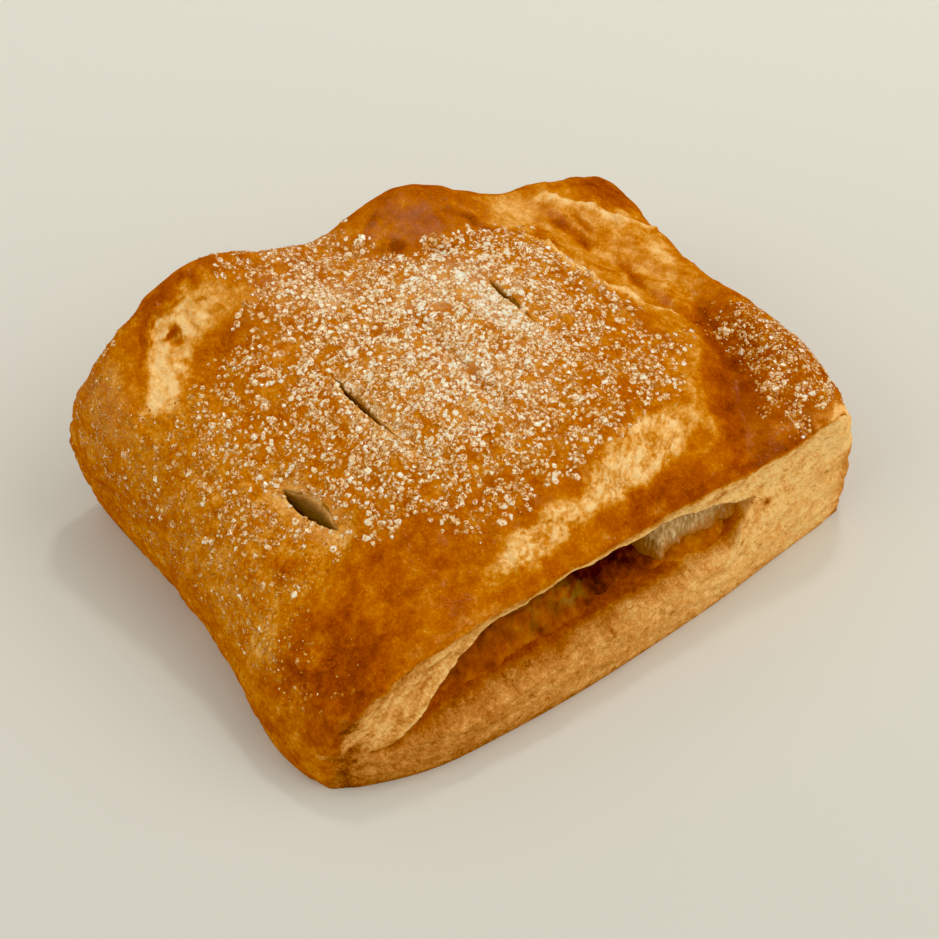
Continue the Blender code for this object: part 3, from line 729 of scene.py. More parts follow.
def crumbTone(places, faces, crustLine, lipLine, broad, small):
    x, y, z = places.T
    front, floorCut, _, slitWall = faces
    tone = profile(crumbTones, x) + 0.14 * ease(2.6, 0.3, z) + 0.30 * ease(51, 56, x)
    fan = ease(0, 1.5, z - profile(mouth["lipLow"], x)) * front
    raised = turnedUp(places, 40)
    strings = lumps(raised, (5.0, 5.0, 0.7), 6.0) + 0.5 * lumps(raised, (3.0, 3.0, 0.35), 7.0)
    fanTone = 0.52 * profile(crumbTones, x) + 0.34 * strings + 0.10 * ease(-44, -50, x)
    tone = between(tone, fanTone, fan)
    tone += 0.14 * ease(-1.8, 0.2, z - crustLine) * front
    tone += 0.16 * ease(-43.4, -41.0, y) * floorCut * ease(32, 26, x)  # syrup has soaked in
    # painted shade: a small dark hole where the lip's crease ends
    shadedHole = np.exp(-((x - 35.6) ** 2 + (y + 40.3) ** 2 + (z - 17.0) ** 2) / 0.5)
    # painted shade: the crumb is darker inside its open pores, most in the largest ones, and paler at their
    # rims
    deep, rim = pores(places)
    opened = np.maximum(front, floorCut) * ease(47, 36, x)
    tone += (0.11 * broad + 0.08 * small) * ease(70, 36, x) + opened * (0.20 * deep - 0.08 * rim)
    tone = np.minimum(tone, toneLimits["crumb"]) + 0.9 * shadedHole + 0.32 * poreDepth(places)
    tone = between(tone, 0.05 + 0.08 * small, lipLine)
    # painted shade: the walls of the slits darken with depth below the top
    return between(tone, 0.16 + 0.46 * ease(1.2, 3.0, topHeight(x, y) - z), slitWall)


def paintDough(dough, outer):
    places, normals = placesOf(dough.data)
    x, y, z = places.T
    cut = ease(0.01, 0.05, np.array([outer.find_nearest(Vector(p))[3] for p in places]))
    up = ease(0.2, 0.6, normals[:, 2])
    broad, small = lumps(places, 5.0, 11.0), lumps(places, 1.6, 13.0)
    warpX, warpY = wandering(places)
    bandTop, lipLow, top = profile(mouth["bandTop"], x), profile(mouth["lipLow"], x), topHeight(x, y)
    faces = front, floorCut, roofCut, slitWall = cutFaces(places, normals, cut)
    crustLine = top - profile(crustDrop, x) + 0.6 * broad + 0.4 * small
    lipLine = ease(0.8, 0.2, np.abs(z - lipLow - 0.1 + 0.4 * small)) * ease(-36.5, -38, y)
    lipLine = lipLine * np.maximum(front, roofCut) * ease(-47, -40, x) * ease(36, 30, x)
    crumb = crumbShare(places, faces, crustLine, broad, small)
    syrup = floorCut * (1 - crumb)
    crumb = np.maximum(crumb, lipLine)

    tone = crustTone(places, normals, up, broad, small)
    tone = between(tone, crumbTone(places, faces, crustLine, lipLine, broad, small), crumb)
    # the syrup on the mouth's floor, paler to the right and to the front; darker farther in as painted
    # shade under the lip
    wet = 0.66 - 0.20 * ease(10, 22, x) - 0.10 * ease(-38, -42, y) + 0.12 * broad + 0.10 * small
    tone = between(tone, wet, syrup)
    # painted shade: the lip's underside, behind its crumb, is painted nearly black-brown
    tone = np.where((roofCut > 0.5) & (crumb < 0.5), toneLimits["roof"], tone)
    # painted shade: browner along the crease at the front-left corner
    tone += crease(x, y, *cornerCrease, 1.6, 0.20) * ease(-31, -34, y) * (1 - cut)
    mottled = 0.07 * lumps(places, 1.2, 91.0) + 0.06 * lumps(places, 0.6, 92.0)
    tone += ease(-34, -44, x) * (1 - crumb) * mottled
    tone = np.where((crumb < 0.5) & (cut < 0.5), np.minimum(tone, toneLimits["crust"]), tone)

    frost = np.max([amount * patch(warpX, warpY, *area, 0.5) for *area, amount in frostSpots], axis=0)
    frost = frost * up * (1 - crumb) * (1 - cut) * (0.6 + 0.5 * small + 0.3 * lumps(places, 0.8, 14.0))
    smooth = np.max([patch(warpX, warpY, *area, 0.2) for area in bareAreas], axis=0)
    drops = up * (1 - crumb) * (1 - cut) * (1 - smooth) * (0.75 + 0.25 * broad) * ease(-33, -29, y)
    share = np.where(z < (bandTop + lipLow) / 2, z / np.maximum(bandTop, 1),
                     1 + (z - lipLow) / np.maximum(top - lipLow, 1))
    layer = np.where(y < -34, share * 7, z / 1.25 + 3 * lumps(places, 14.0)) * (1 - slitWall)
    # painted shade: deep in the slits and in the hollow behind the lip the crust is painted dark
    # olive-brown
    hollow = np.maximum(slitWall * ease(1.0, 2.6, top - z), cut * (y > -30) * (1 - slitWall))
    masks = {"tone": tone, "crumb": crumb, "syrup": syrup, "frost": frost, "beads": drops,
             "layer": layer / layerRange, "hollow": hollow, "fan": ease(0, 1.2, z - lipLow) * crumb}
    for name, values in masks.items():
        saveMask(dough.data, name, values)


def triangleCount(piece):
    return sum(len(face.vertices) - 2 for face in piece.data.polygons)


print("shaping the dough")
dough, outerSkin = makeDough()
paintDough(dough, outerSkin)
dough.data.shade_smooth()
print("dough", len(dough.data.vertices), "points", triangleCount(dough), "triangles")

# guava and cheese

filling = {
    "back": 26.0,
    "guavaThick": 6.5,
    "cheeseThick": 6.5,
    "rounding": 0.25,
    "guavaShare": {-43: 0.5, -30: 0.58, -20: 0.58, -8: 0.48, -4: 0.26, 0: 0.13, 5: 0.10, 9: 0.14,
                   14: 0.34, 37: 0.40},
    "guavaFront": {-43: -31.0, -35: -35.0, -26: -36.8, -15: -36.2, -3: -35.8, 3: -34.8,
                   8: -34.4, 12: -35.4, 18: -36.6, 29: -37.0, 37: -36.0},
    "cheeseFront": {-35: -20.0, -26: -24.0, -9: -26.0, -4: -28.0, 0: -24.0,
                    6: -20.0, 9.5: -30.0, 11.5: -36.8, 16: -37.8, 26: -38.2, 32: -38.0, 36: -36.8},
}


def fillingLayers(x, y):
    floor, roof = floorHeight(x, y), roofHeight(x, y)
    lumpy = 1 + 0.04 * np.sin(x / 3.1) * np.cos(y / 3.7)
    guava = np.minimum(filling["guavaThick"], profile(filling["guavaShare"], x) * (roof - floor)) * lumpy
    guavaLow = floor + 0.5
    cheeseLow = guavaLow + guava + 1.1
    cheeseHigh = np.minimum(cheeseLow + filling["cheeseThick"] * mound(x, y) * lumpy, roof - 1.0)
    return guavaLow, guavaLow + guava, cheeseLow, np.maximum(cheeseHigh, cheeseLow + 0.8)


def makeFilling(name, look):
    def shape(a, b, c):
        a = a * np.sqrt(1 - filling["rounding"] * b * b / 2)
        b = b * np.sqrt(1 - filling["rounding"] * a * a / 2)
        x = between(*look["sides"], (a + 1) / 2)
        b = b - 0.3 * (1 - b * b)
        front = profile(look["front"], x) - look["slump"] * (1 - c) ** 1.6 * ease(0, -1, b)
        ragged = np.stack([x, 3 * c, x * 0], 1)
        front = front + look["uneven"] * (lumps(ragged, 3.1, 3.0) + 0.5 * lumps(ragged, 1.1, 5.0))
        y = between(front, filling["back"], (b + 1) / 2)
        heights = fillingLayers(x, y)
        across = np.stack([x, x * 0, x * 0], 1)
        strings = 1 + 0.3 * lumps(across, 0.7, 4.0) + 0.6 * lumps(ragged, 2.6, 8.0)
        hanging = look["hang"] * ease(-0.5, -1, b) * ease(7, 12, x) * strings
        low, high = heights[look["layer"]] - look["sunk"] - hanging, heights[look["layer"] + 1]
        return np.stack([x, y, between(low, high, c)], 1)
    bm = gridBlock(*look["grid"])
    shapeBlock(bm, shape)
    for _ in range(look["smoothings"]):
        smoothPoints(bm, bm.verts, use_axis_z=True)
    bm.normal_update()
    places = np.array([v.co[:] for v in bm.verts])
    push = sum(height * lumps(places, size, look["layer"]) for size, height in look["lumps"])
    for v, amount in zip(bm.verts, push):
        v.co += v.normal * amount
    piece = meshPiece(name, bm)
    piece.data.shade_smooth()
    return piece


guavaLook = {
    "sides": (-43.0, 37.0),
    "front": filling["guavaFront"],
    "layer": 0,
    "slump": 3.6,
    "sunk": 1.0,
    "hang": 0.0,
    "uneven": 0.7,
    "smoothings": 4,
    "lumps": ((3.6, 0.40), (1.6, 0.22), ((0.8, 1.5, 2.4), 0.16)),
    "grid": (150, 60, 12),
}
cheeseLook = {
    "sides": (-35.0, 36.0),
    "front": filling["cheeseFront"],
    "layer": 2,
    "slump": 0.8,
    "sunk": 0.8,
    "hang": 1.9,
    "uneven": 0.7,
    "smoothings": 4,
    "lumps": ((2.6, 0.35), ((0.7, 2.0, 3.0), 0.28), ((0.4, 1.2, 1.6), 0.20)),
    "grid": (240, 40, 16),
}


def paintGuava(guava):
    # dark red, darker higher up as painted shade under the lip, orange syrup at the right and at its foot,
    # an olive clear lump in the middle
    places = placesOf(guava.data)[0]
    x, y, z = places.T
    above = z - floorHeight(x, y)
    tone = 0.66 + 0.18 * lumps(places, (2.6, 2.6, 4.0), 5.0) + 0.14 * lumps(places, (0.8, 1.2, 2.0), 6.0)
    tone += 0.24 * ease(-6, 0, x) * ease(15, 10, x) - 0.18 * ease(10, 17, x)
    # painted shade: darker higher above the floor, under the lip; paler at its foot
    tone += 0.16 * ease(2.5, 6.5, above) - 0.10 * ease(2.0, 0.0, above)
    olive = lobe(x, y, (-4.5, -36.4), (3.0, 2.4), 0.65) + lobe(x, y, (-13.0, -36.6), (5.0, 2.4), 0.32)
    saveMask(guava.data, "tone", tone)
    saveMask(guava.data, "olive", olive * ease(-0.2, 0.3, lumps(places, 1.5, 3.0)))


def paintCheese(cheese):
    # its lower edge has taken up the syrup
    places = placesOf(cheese.data)[0]
    x, y, z = places.T
    above = z - floorHeight(x, y) - 3.0
    soaked = ease(3.6, 1.0, above + 1.2 * lumps(places, (0.8, 2.0, 3.0), 3.0))
    saveMask(cheese.data, "soaked", np.maximum(0.85 * soaked, ease(8, 2, x)))


print("filling it")
guava = makeFilling("guavaFilling", guavaLook)
cheese = makeFilling("cheeseFilling", cheeseLook)
paintGuava(guava)
paintCheese(cheese)

# sugar

sugar = {
    "seed": 7,
    "sunk": 0.24,
    "flatness": 0.55,
    "steepest": 0.15,  # none lies on faces whose normals point up less than this
    "lowest": 14,
    "frontLine": -40.5,
    "tint": (0.24, 0.16, 0.16),  # the usual one, what whiteness adds, and the spread between grains
}
crystalLook = {
    "name": "sugarCrystals",
    "count": 4500,
    "radius": (0.46, 0.92),
    "apart": 0.50,  # how near two may lie, as a share of their sizes
    "spread": 0.44,  # how much the faces of one grain differ
    "rise": 0.18,  # how much paler its upper faces are, painted light from above, while the lower ones keep the glaze's amber
    "smooth": False,
    "templates": (10, 3, 2, 3),  # how many shapes, cubes, rounder lumps, and their seed
    "seed": 5,
}
beadLook = {
    "name": "meltedSugar",
    "count": 4400,
    "radius": (0.22, 0.50),
    "apart": 0.60,
    "spread": 0.12,
    "rise": 0.30,
    "smooth": True,
    "templates": (5, 0, 2, 4),
    "seed": 8,
}
grainLook = {
    "name": "sugarGrains",
    "count": 6400,
    "radius": (0.15, 0.30),
    "apart": 0.50,
    "spread": 0.30,
    "rise": 0.20,
    "smooth": False,
    "templates": (6, 2, 0, 4),
    "seed": 6,
}
sugarAreas = (  # middle, radii, turn, then how many crystals, beads and grains
    ((0.0, 6.0), (29.0, 23.0), 10, 1.00, 0.25, 1.0),
    ((-6.0, 29.0), (20.0, 8.0), 0, 0.60, 0.50, 0.7),
    ((-32.0, 6.0), (17.0, 18.0), 20, 0.30, 0.80, 0.2),
    ((2.0, -17.0), (33.0, 8.5), 5, 0.40, 0.60, 0.2),
    ((50.5, -24.0), (8.5, 16.0), 0, 0.06, 2.00, 0.9),
    ((-54.0, 8.0), (7.0, 33.0), 0, 0.01, 1.30, 0.10),
    ((-46.0, 12.0), (9.0, 14.0), 0, 0.06, 1.40, 0.12),
    ((-54.0, 34.0), (8.0, 9.0), 0, 0.00, 0.40, 0.3),
    ((-20.0, 39.0), (26.0, 5.0), 0, 0.15, 0.50, 0.7),
    ((-50.0, -12.0), (9.0, 12.0), 0, 0.01, 1.10, 0.1),
    ((-50.0, -27.0), (7.0, 8.0), 0, 0.00, 0.14, 0.02),
    ((-30.0, -20.0), (20.0, 7.0), 0, 0.03, 0.40, 0.1),
)


def bevelledCube():
    bm = bmesh.new()
    bmesh.ops.create_cube(bm, size=1.5)
    bmesh.ops.bevel(bm, geom=bm.verts[:] + bm.edges[:], offset=0.26, offset_type="OFFSET",
                    affect="EDGES", segments=1, profile=0.5, material=-1)
    # the bevel lists its points and faces in an order that changes from run to run, so they are
    # put in a fixed one before the random draws
    bm.verts.sort(key=lambda v: v.co.x + 10 * v.co.y + 100 * v.co.z)
    bm.verts.index_update()
    sides = []
    for face in bm.faces:
        side = [v.index for v in face.verts]
        first = side.index(min(side))
        sides.append(side[first:] + side[:first])
    ordered = bmesh.new()
    points = [ordered.verts.new(v.co) for v in bm.verts]
    for side in sorted(sides):
        ordered.faces.new([points[i] for i in side])
    bm.free()
    ordered.verts.index_update()
    return ordered


def makeTemplates(count, cubes, rounder, seed):
    # a few broken crystal shapes: bevelled cubes, then faceted lumps, the first of them rounder
    draw = random.Random(seed)
    shapes = []
    for index in range(count):
        bm = bevelledCube() if index < cubes else bmesh.new()
        if index >= cubes:
            bmesh.ops.create_icosphere(bm, subdivisions=2 if index < cubes + rounder else 1, radius=1)
        bmesh.ops.triangulate(bm, faces=bm.faces)
        uneven = 0.08 if len(bm.verts) > 20 else 0.13
        for v in bm.verts:
            v.co *= draw.uniform(1 - 1.6 * uneven, 1 + uneven)
            v.co += Vector([draw.uniform(-uneven, uneven) for axis in range(3)])
        points = np.array([v.co[:] for v in bm.verts])
        shapes.append((points, [[v.index for v in f.verts] for f in bm.faces]))
        bm.free()
    return shapes


def joinCopies(look, spots):
    # one mesh of all the copies: a spot is its point, normal, radius and tint
    templates = makeTemplates(*look["templates"])
    draw = random.Random(look["seed"])
    points, faces, tints, count = [], [], [], 0
    for point, normal, radius, tint in spots:
        shape, sides = templates[draw.randrange(len(templates))]
        turn = Euler([draw.uniform(0, math.tau) for axis in range(3)]).to_matrix()
        size = np.array([draw.uniform(0.7, 1.4), draw.uniform(0.75, 1.1), 1]) * radius
        placed = (shape * size) @ np.array(turn).T
        n = np.array(normal)
        height = placed @ n
        points.append(placed - np.outer(height, n) * (1 - sugar["flatness"]) + np.array(point))
        faces += [[i + count for i in side] for side in sides]
        for side in sides:  # painted light: each face is painted its own paleness, standing in for the way each face of clear broken sugar takes the light
            paler = look["rise"] * height[side].mean() / radius
            tints.append(tint + draw.uniform(-1, 1) * look["spread"] + paler)
        count += len(shape)
    mesh = bpy.data.meshes.new(look["name"])
    mesh.from_pydata(np.concatenate(points) * mm, [], faces)
    saveMask(mesh, "tint", np.array(tints), "FACE")
    if look["smooth"]:
        mesh.shade_smooth()
    return linkObject(look["name"], mesh)


def sugarDensity(places, which):
    x, y = places.T[:2]
    warpX = x + 2.2 * lumps(places, 6.0, 51.0)
    warpY = y + 2.2 * lumps(places, 6.0, 61.0)
    amount = np.max([area[3 + which] * patch(warpX, warpY, *area[:3], 0.35) for area in sugarAreas], axis=0)
    for area in bareAreas:
        amount = amount * (1 - patch(warpX, warpY, *area, 0.2))
    clumped = 0.10 + 1.4 * ease(-0.35, 0.25, lumps(places, 2.6, 71.0) + 0.5 * lumps(places, 1.2, 72.0))
    return amount * clumped


def scatterSpots(mesh, which, look, seed):
    count, radii, apart = look["count"], look["radius"], look["apart"]
    mesh.calc_loop_triangles()
    places, normals = placesOf(mesh)
    corners = np.array([t.vertices[:] for t in mesh.loop_triangles])
    a, b, c = places[corners[:, 0]], places[corners[:, 1]], places[corners[:, 2]]
    area = np.linalg.norm(np.cross(b - a, c - a), axis=1) / 2
    middle = (a + b + c) / 3
    facing = normals[corners].mean(axis=1)
    facing /= np.linalg.norm(facing, axis=1)[:, None]
    opened = np.zeros((2, len(places)), np.float32)
    mesh.attributes["crumb"].data.foreach_get("value", opened[0])
    mesh.attributes["syrup"].data.foreach_get("value", opened[1])
    usable = facing[:, 2] > sugar["steepest"]
    usable &= (middle[:, 2] > sugar["lowest"]) & (middle[:, 1] > sugar["frontLine"])
    usable &= opened.sum(axis=0)[corners].max(axis=1) < 0.3
    picked = np.nonzero(usable)[0]
    weight = area[picked] * sugarDensity(middle[picked], which)
    draw = np.random.RandomState(seed)
    chosen = picked[draw.choice(len(picked), size=3 * count, p=weight / weight.sum())]
    u, v = draw.rand(2, len(chosen))
    fold = u + v > 1
    u[fold], v[fold] = 1 - u[fold], 1 - v[fold]
    points = a[chosen] + (b - a)[chosen] * u[:, None] + (c - a)[chosen] * v[:, None]
    x, y = points.T[:2]
    whiteness = patch(x, y, (2.0, 8.0), (22.0, 18.0), 10, 0.6) + lumps(points, 3.4, 81.0)
    whiteness += 0.5 * patch(x, y, (50.0, -24.0), (10.0, 16.0), 0, 0.5)
    whiteness -= 0.8 * ease(-34, -44, x)
    whiteness += 1.6 * np.max([amount * patch(x, y, *area, 0.5)
                               for *area, amount in frostSpots if amount > 0.4], axis=0)
    usual, whiter, spread = sugar["tint"]
    spots, near = [], {}
    for point, n, white in zip(points, facing[chosen], whiteness):
        radius = between(*radii, draw.rand() ** 1.3)
        cell = tuple(np.floor(point / (2 * radii[1])).astype(int))
        around = [item for step in itertools.product((-1, 0, 1), repeat=3)
                  for item in near.get(tuple(np.add(cell, step)), ())]
        if any(np.sum((point - other) ** 2) < (apart * (radius + size)) ** 2 for other, size in around):
            continue
        near.setdefault(cell, []).append((point, radius))
        tint = np.clip(usual + whiter * white + draw.normal(0, spread), 0, 1)
        spots.append((point - n * radius * sugar["sunk"], n, radius, tint))
        if len(spots) == count:
            break
    print("placed", len(spots), "of", count)
    return spots


print("sprinkling sugar")
sugarLooks = crystalLook, beadLook, grainLook
sugarSpots = [scatterSpots(dough.data, which, look, sugar["seed"] + which)
              for which, look in enumerate(sugarLooks)]
crystals, beads, grains = [joinCopies(look, spots) for look, spots in zip(sugarLooks, sugarSpots)]
for piece in (crystals, beads, grains):
    print(piece.name, triangleCount(piece), "triangles")

# materials


def newMaterial(name):
    material = bpy.data.materials.new(name)
    material.use_nodes = True
    tree = material.node_tree
    return material, tree, tree.nodes["Principled BSDF"]


def setInputs(tree, node, values):
    for name, value in values.items():
        if isinstance(value, bpy.types.NodeSocket):
            tree.links.new(value, node.inputs[name])
        else:
            node.inputs[name].default_value = value


def addNode(tree, kind, inputs=(), **settings):
    node = tree.nodes.new(kind)
    for name, value in settings.items():
        setattr(node, name, value)
    setInputs(tree, node, dict(inputs))
    return node


def addMath(tree, operation, *values):
    return addNode(tree, "ShaderNodeMath", enumerate(values), operation=operation).outputs[0]


def addClamped(tree, value, high=1.0):
    return addMath(tree, "MINIMUM", addMath(tree, "MAXIMUM", value, 0.0), high)


def addVaried(tree, value, grain, amount):
    # the value, varied up and down by a grain
    return addMath(tree, "MULTIPLY_ADD", addMath(tree, "SUBTRACT", grain, 0.5), amount, value)


def addRamp(tree, factor, stops):
    node = addNode(tree, "ShaderNodeValToRGB", {"Fac": factor})
    ramp = node.color_ramp
    while len(ramp.elements) < len(stops):
        ramp.elements.new(0.5)
    for element, (position, color) in zip(ramp.elements, stops):
        element.position = position
        element.color = (*color, 1)
    return node.outputs["Color"]


def addPlace(tree):
    return addNode(tree, "ShaderNodeTexCoord").outputs["Object"]


def addBump(tree, height, distance, strength):
    bump = addNode(tree, "ShaderNodeBump", {"Height": height, "Distance": distance, "Strength": strength})
    return bump.outputs["Normal"]


def readMask(tree, name):
    return addNode(tree, "ShaderNodeAttribute", attribute_name=name).outputs["Fac"]


def mixColors(tree, factor, *colors):
    first, second = (c if isinstance(c, bpy.types.NodeSocket) else (*c, 1) for c in colors)
    # a color mix has its factor and its two colors at these places
    node = addNode(tree, "ShaderNodeMix", {0: factor, 6: first, 7: second}, data_type="RGBA")
    return node.outputs[2]


def newGroup(name, inputs, output):
    group = bpy.data.node_groups.new(name, "ShaderNodeTree")
    for label, value in inputs.items():
        socket = group.interface.new_socket(label, in_out="INPUT", socket_type="NodeSocketFloat")
        socket.default_value = value
    group.interface.new_socket(output, in_out="OUTPUT", socket_type="NodeSocketFloat")
    return group, addNode(group, "NodeGroupInput").outputs, addNode(group, "NodeGroupOutput")


def makeGrainGroup():
    # fine uneven grain that the crust, the crumb and the fillings share
    group, given, result = newGroup("fineGrain", {"Size": 1.0, "Detail": 3.0}, "Grain")
    scale = addMath(group, "DIVIDE", 1 / mm, given["Size"])
    noise = {"Vector": addPlace(group), "Scale": scale, "Detail": given["Detail"], "Roughness": 0.6}
    grain = addNode(group, "ShaderNodeTexNoise", noise)
    setInputs(group, result, {"Grain": grain.outputs["Fac"]})
    return group


def makePoreGroup():
    # round pores of uneven size: how deep each point lies in one
    group, given, result = newGroup("openPores", {"Size": 1.4, "Share": 0.4}, "Pore")
    place = addPlace(group)
    wavy = addNode(group, "ShaderNodeTexNoise", {"Vector": place, "Scale": 900.0, "Detail": 2.0})
    bent = addNode(group, "ShaderNodeVectorMath", {0: wavy.outputs["Color"], 1: (0.0018,) * 3, 2: place},
                   operation="MULTIPLY_ADD")
    scale = addMath(group, "DIVIDE", 1 / mm, given["Size"])
    spots = addNode(group, "ShaderNodeTexVoronoi", {"Vector": bent.outputs["Vector"], "Scale": scale})
    chance = addNode(group, "ShaderNodeSeparateColor", {"Color": spots.outputs["Color"]}).outputs
    opened = addMath(group, "LESS_THAN", chance["Red"], given["Share"])
    radius = addMath(group, "MULTIPLY_ADD", chance["Green"], 0.26, 0.14)
    beyond = addMath(group, "SUBTRACT", radius, spots.outputs["Distance"])
    pore = addMath(group, "MULTIPLY", addMath(group, "MULTIPLY", beyond, 5.0), opened)
    setInputs(group, result, {"Pore": addClamped(group, pore)})
    return group


grainGroup = makeGrainGroup()
poreGroup = makePoreGroup()


def addGrain(tree, size, detail=3.0):
    node = addNode(tree, "ShaderNodeGroup", node_tree=grainGroup)
    setInputs(tree, node, {"Size": size, "Detail": detail})
    return node.outputs["Grain"]


def addPores(tree, size, share):
    node = addNode(tree, "ShaderNodeGroup", node_tree=poreGroup)
    setInputs(tree, node, {"Size": size, "Share": share})
    return node.outputs["Pore"]


toneRamp = (
    (0.00, (0.93, 0.62, 0.26)),
    (0.15, (0.83, 0.43, 0.115)),
    (0.30, (0.65, 0.250, 0.026)),
    (0.44, (0.52, 0.143, 0.005)),
    (0.56, (0.42, 0.090, 0.002)),
    (0.70, (0.30, 0.052, 0.002)),
    (0.85, (0.16, 0.023, 0.001)),
    (1.00, (0.045, 0.006, 0.0005)),
)
crumbRamp = (
    (0.00, (1.0, 0.64, 0.24)),
    (0.15, (0.93, 0.50, 0.155)),
    (0.35, (0.72, 0.31, 0.072)),
    (0.55, (0.52, 0.18, 0.036)),
    (0.75, (0.30, 0.075, 0.012)),
    (1.00, (0.06, 0.015, 0.003)),
)
crustLook = {  # a pair is the crust's value and what bare crumb adds to it
    "grainSizes": (2.8, 1.1, 0.45),
    "coarseTone": 0.44,
    "fineTone": (0.36, 0.30),
    "tinyTone": (0.46, 0.24),
    "fineRelief": (0.34, 0.8),
    "tinyRelief": (0.24, 0.32),
    "fleckFrom": 0.60,
    "fleckTone": -1.2,
    "dropScale": 1250.0,
    "dropCurve": 2.4,
    "dropsMissing": 0.45,
    "dropTone": -0.10,
    "dropRelief": 0.30,
    "bigPores": (2.4, 0.14),  # size and share
    "smallPores": (0.9, 0.28),
    "poreShadeTone": 0.22,
    "poreRelief": -0.7,
    "layerTone": 0.03,
    "layerRelief": 0.12,
    "frostColor": (0.90, 0.68, 0.36),
    "frostMost": 0.85,
    # the colour painted as shade deep in the slits and the hollow
    "hollowShadeColor": (0.28, 0.140, 0.052),
    "roughness": (0.22, 0.25),
    "syrupSmoother": -0.08,
    "frostRougher": 0.25,
    "coat": (0.62, -0.52),
    "coatFade": -1.6,  # at a grazing view
    "coatRoughness": 0.08,
    "coatIor": 1.35,
}


def makeCrustMaterial():
    look = crustLook
    material, tree, surface = newMaterial("bakedCrust")
    tone, crumb, syrup = readMask(tree, "tone"), readMask(tree, "crumb"), readMask(tree, "syrup")
    frost, hollow = readMask(tree, "frost"), readMask(tree, "hollow")
    coarse, fine, tiny = (addGrain(tree, size) for size in look["grainSizes"])

    def onCrumb(name):
        return addMath(tree, "MULTIPLY_ADD", crumb, look[name][1], look[name][0])

    def addTo(value, field, amount):
        return addMath(tree, "MULTIPLY_ADD", field, amount, value)

    # beads of melted sugar too small for a mesh
    drops = addNode(tree, "ShaderNodeTexVoronoi", {"Vector": addPlace(tree), "Scale": look["dropScale"]})
    dome = addMath(tree, "MULTIPLY", drops.outputs["Distance"], drops.outputs["Distance"])
    dome = addMath(tree, "SUBTRACT", 1.0, addMath(tree, "MULTIPLY", dome, look["dropCurve"]))
    chance = addNode(tree, "ShaderNodeSeparateColor", {"Color": drops.outputs["Color"]}).outputs["Red"]
    dome = addMath(tree, "MULTIPLY", dome, addMath(tree, "GREATER_THAN", chance, look["dropsMissing"]))
    raised = addMath(tree, "MULTIPLY", dome, readMask(tree, "beads"))

    big, small = addPores(tree, *look["bigPores"]), addPores(tree, *look["smallPores"])
    pore = addMath(tree, "MAXIMUM", big, addMath(tree, "MULTIPLY", small, 0.5))
    pore = addMath(tree, "MULTIPLY", pore, crumb)
    flecks = addMath(tree, "SUBTRACT", addMath(tree, "MAXIMUM", fine, tiny), look["fleckFrom"])
    flecks = addMath(tree, "MAXIMUM", flecks, 0.0)
    layer = addMath(tree, "MULTIPLY", readMask(tree, "layer"), float(layerRange))
    waves = addMath(tree, "SINE", addMath(tree, "MULTIPLY", layer, math.tau))
    waves = addMath(tree, "MULTIPLY", waves, readMask(tree, "fan"))

    value = addVaried(tree, tone, coarse, look["coarseTone"])
    value = addVaried(tree, value, fine, onCrumb("fineTone"))
    value = addVaried(tree, value, tiny, onCrumb("tinyTone"))
    value = addTo(value, flecks, look["fleckTone"])
    value = addTo(value, waves, look["layerTone"])
    value = addTo(value, raised, look["dropTone"])
    # painted shade: darker inside the crumb's pores
    value = addTo(value, pore, look["poreShadeTone"])
    color = mixColors(tree, crumb, addRamp(tree, value, toneRamp), addRamp(tree, value, crumbRamp))
    whitened = addMath(tree, "MULTIPLY", frost, addMath(tree, "MULTIPLY_ADD", fine, 2.4, -0.7))
    color = mixColors(tree, addClamped(tree, whitened, look["frostMost"]), color, look["frostColor"])
    # painted shade in the slits and the hollow
    color = mixColors(tree, hollow, color, look["hollowShadeColor"])

    rough = addTo(onCrumb("roughness"), syrup, look["syrupSmoother"])
    rough = addTo(rough, frost, look["frostRougher"])
    height = addTo(coarse, fine, onCrumb("fineRelief"))
    height = addTo(height, tiny, onCrumb("tinyRelief"))
    height = addTo(height, waves, look["layerRelief"])
    height = addTo(height, raised, look["dropRelief"])
    height = addTo(height, pore, look["poreRelief"])
    normal = addBump(tree, height, 0.0006, 0.8)
    edge = addNode(tree, "ShaderNodeLayerWeight", {"Blend": 0.5}).outputs["Facing"]
    kept = addMath(tree, "MAXIMUM", addMath(tree, "MULTIPLY_ADD", edge, look["coatFade"], 1.0), 0.0)
    glaze = addMath(tree, "MULTIPLY", onCrumb("coat"), kept)
    glaze = addMath(tree, "MULTIPLY", glaze, addMath(tree, "SUBTRACT", 1.0, hollow))
    setInputs(tree, surface, {
        "Base Color": color,
        "Roughness": rough,
        "Normal": normal,
        "Specular IOR Level": 0.0,  # the glaze alone shines
        "Coat Weight": glaze,
        "Coat Roughness": look["coatRoughness"],
        "Coat IOR": look["coatIor"],
        "Coat Normal": normal,
    })
    return material


def makeGuavaMaterial():
    material, tree, surface = newMaterial("guavaPaste")
    coarse, fine = addGrain(tree, 3.0), addGrain(tree, 1.0)
    value = addVaried(tree, addVaried(tree, readMask(tree, "tone"), coarse, 0.5), fine, 0.3)
    color = mixColors(tree, readMask(tree, "olive"), addRamp(tree, value, toneRamp), (0.34, 0.20, 0.045))
    height = addMath(tree, "MULTIPLY_ADD", fine, 0.6, coarse)
    setInputs(tree, surface, {
        "Base Color": color,
        "Roughness": 0.2,
        "Normal": addBump(tree, height, 0.0008, 0.7),
        "Specular IOR Level": 0.35,
        "Specular Tint": (1.0, 0.65, 0.25, 1),
    })
    return material


cheeseRamp = (
    (0.45, (0.32, 0.14, 0.035)),
    (0.66, (0.58, 0.34, 0.12)),
    (0.90, (0.94, 0.72, 0.42)),
)


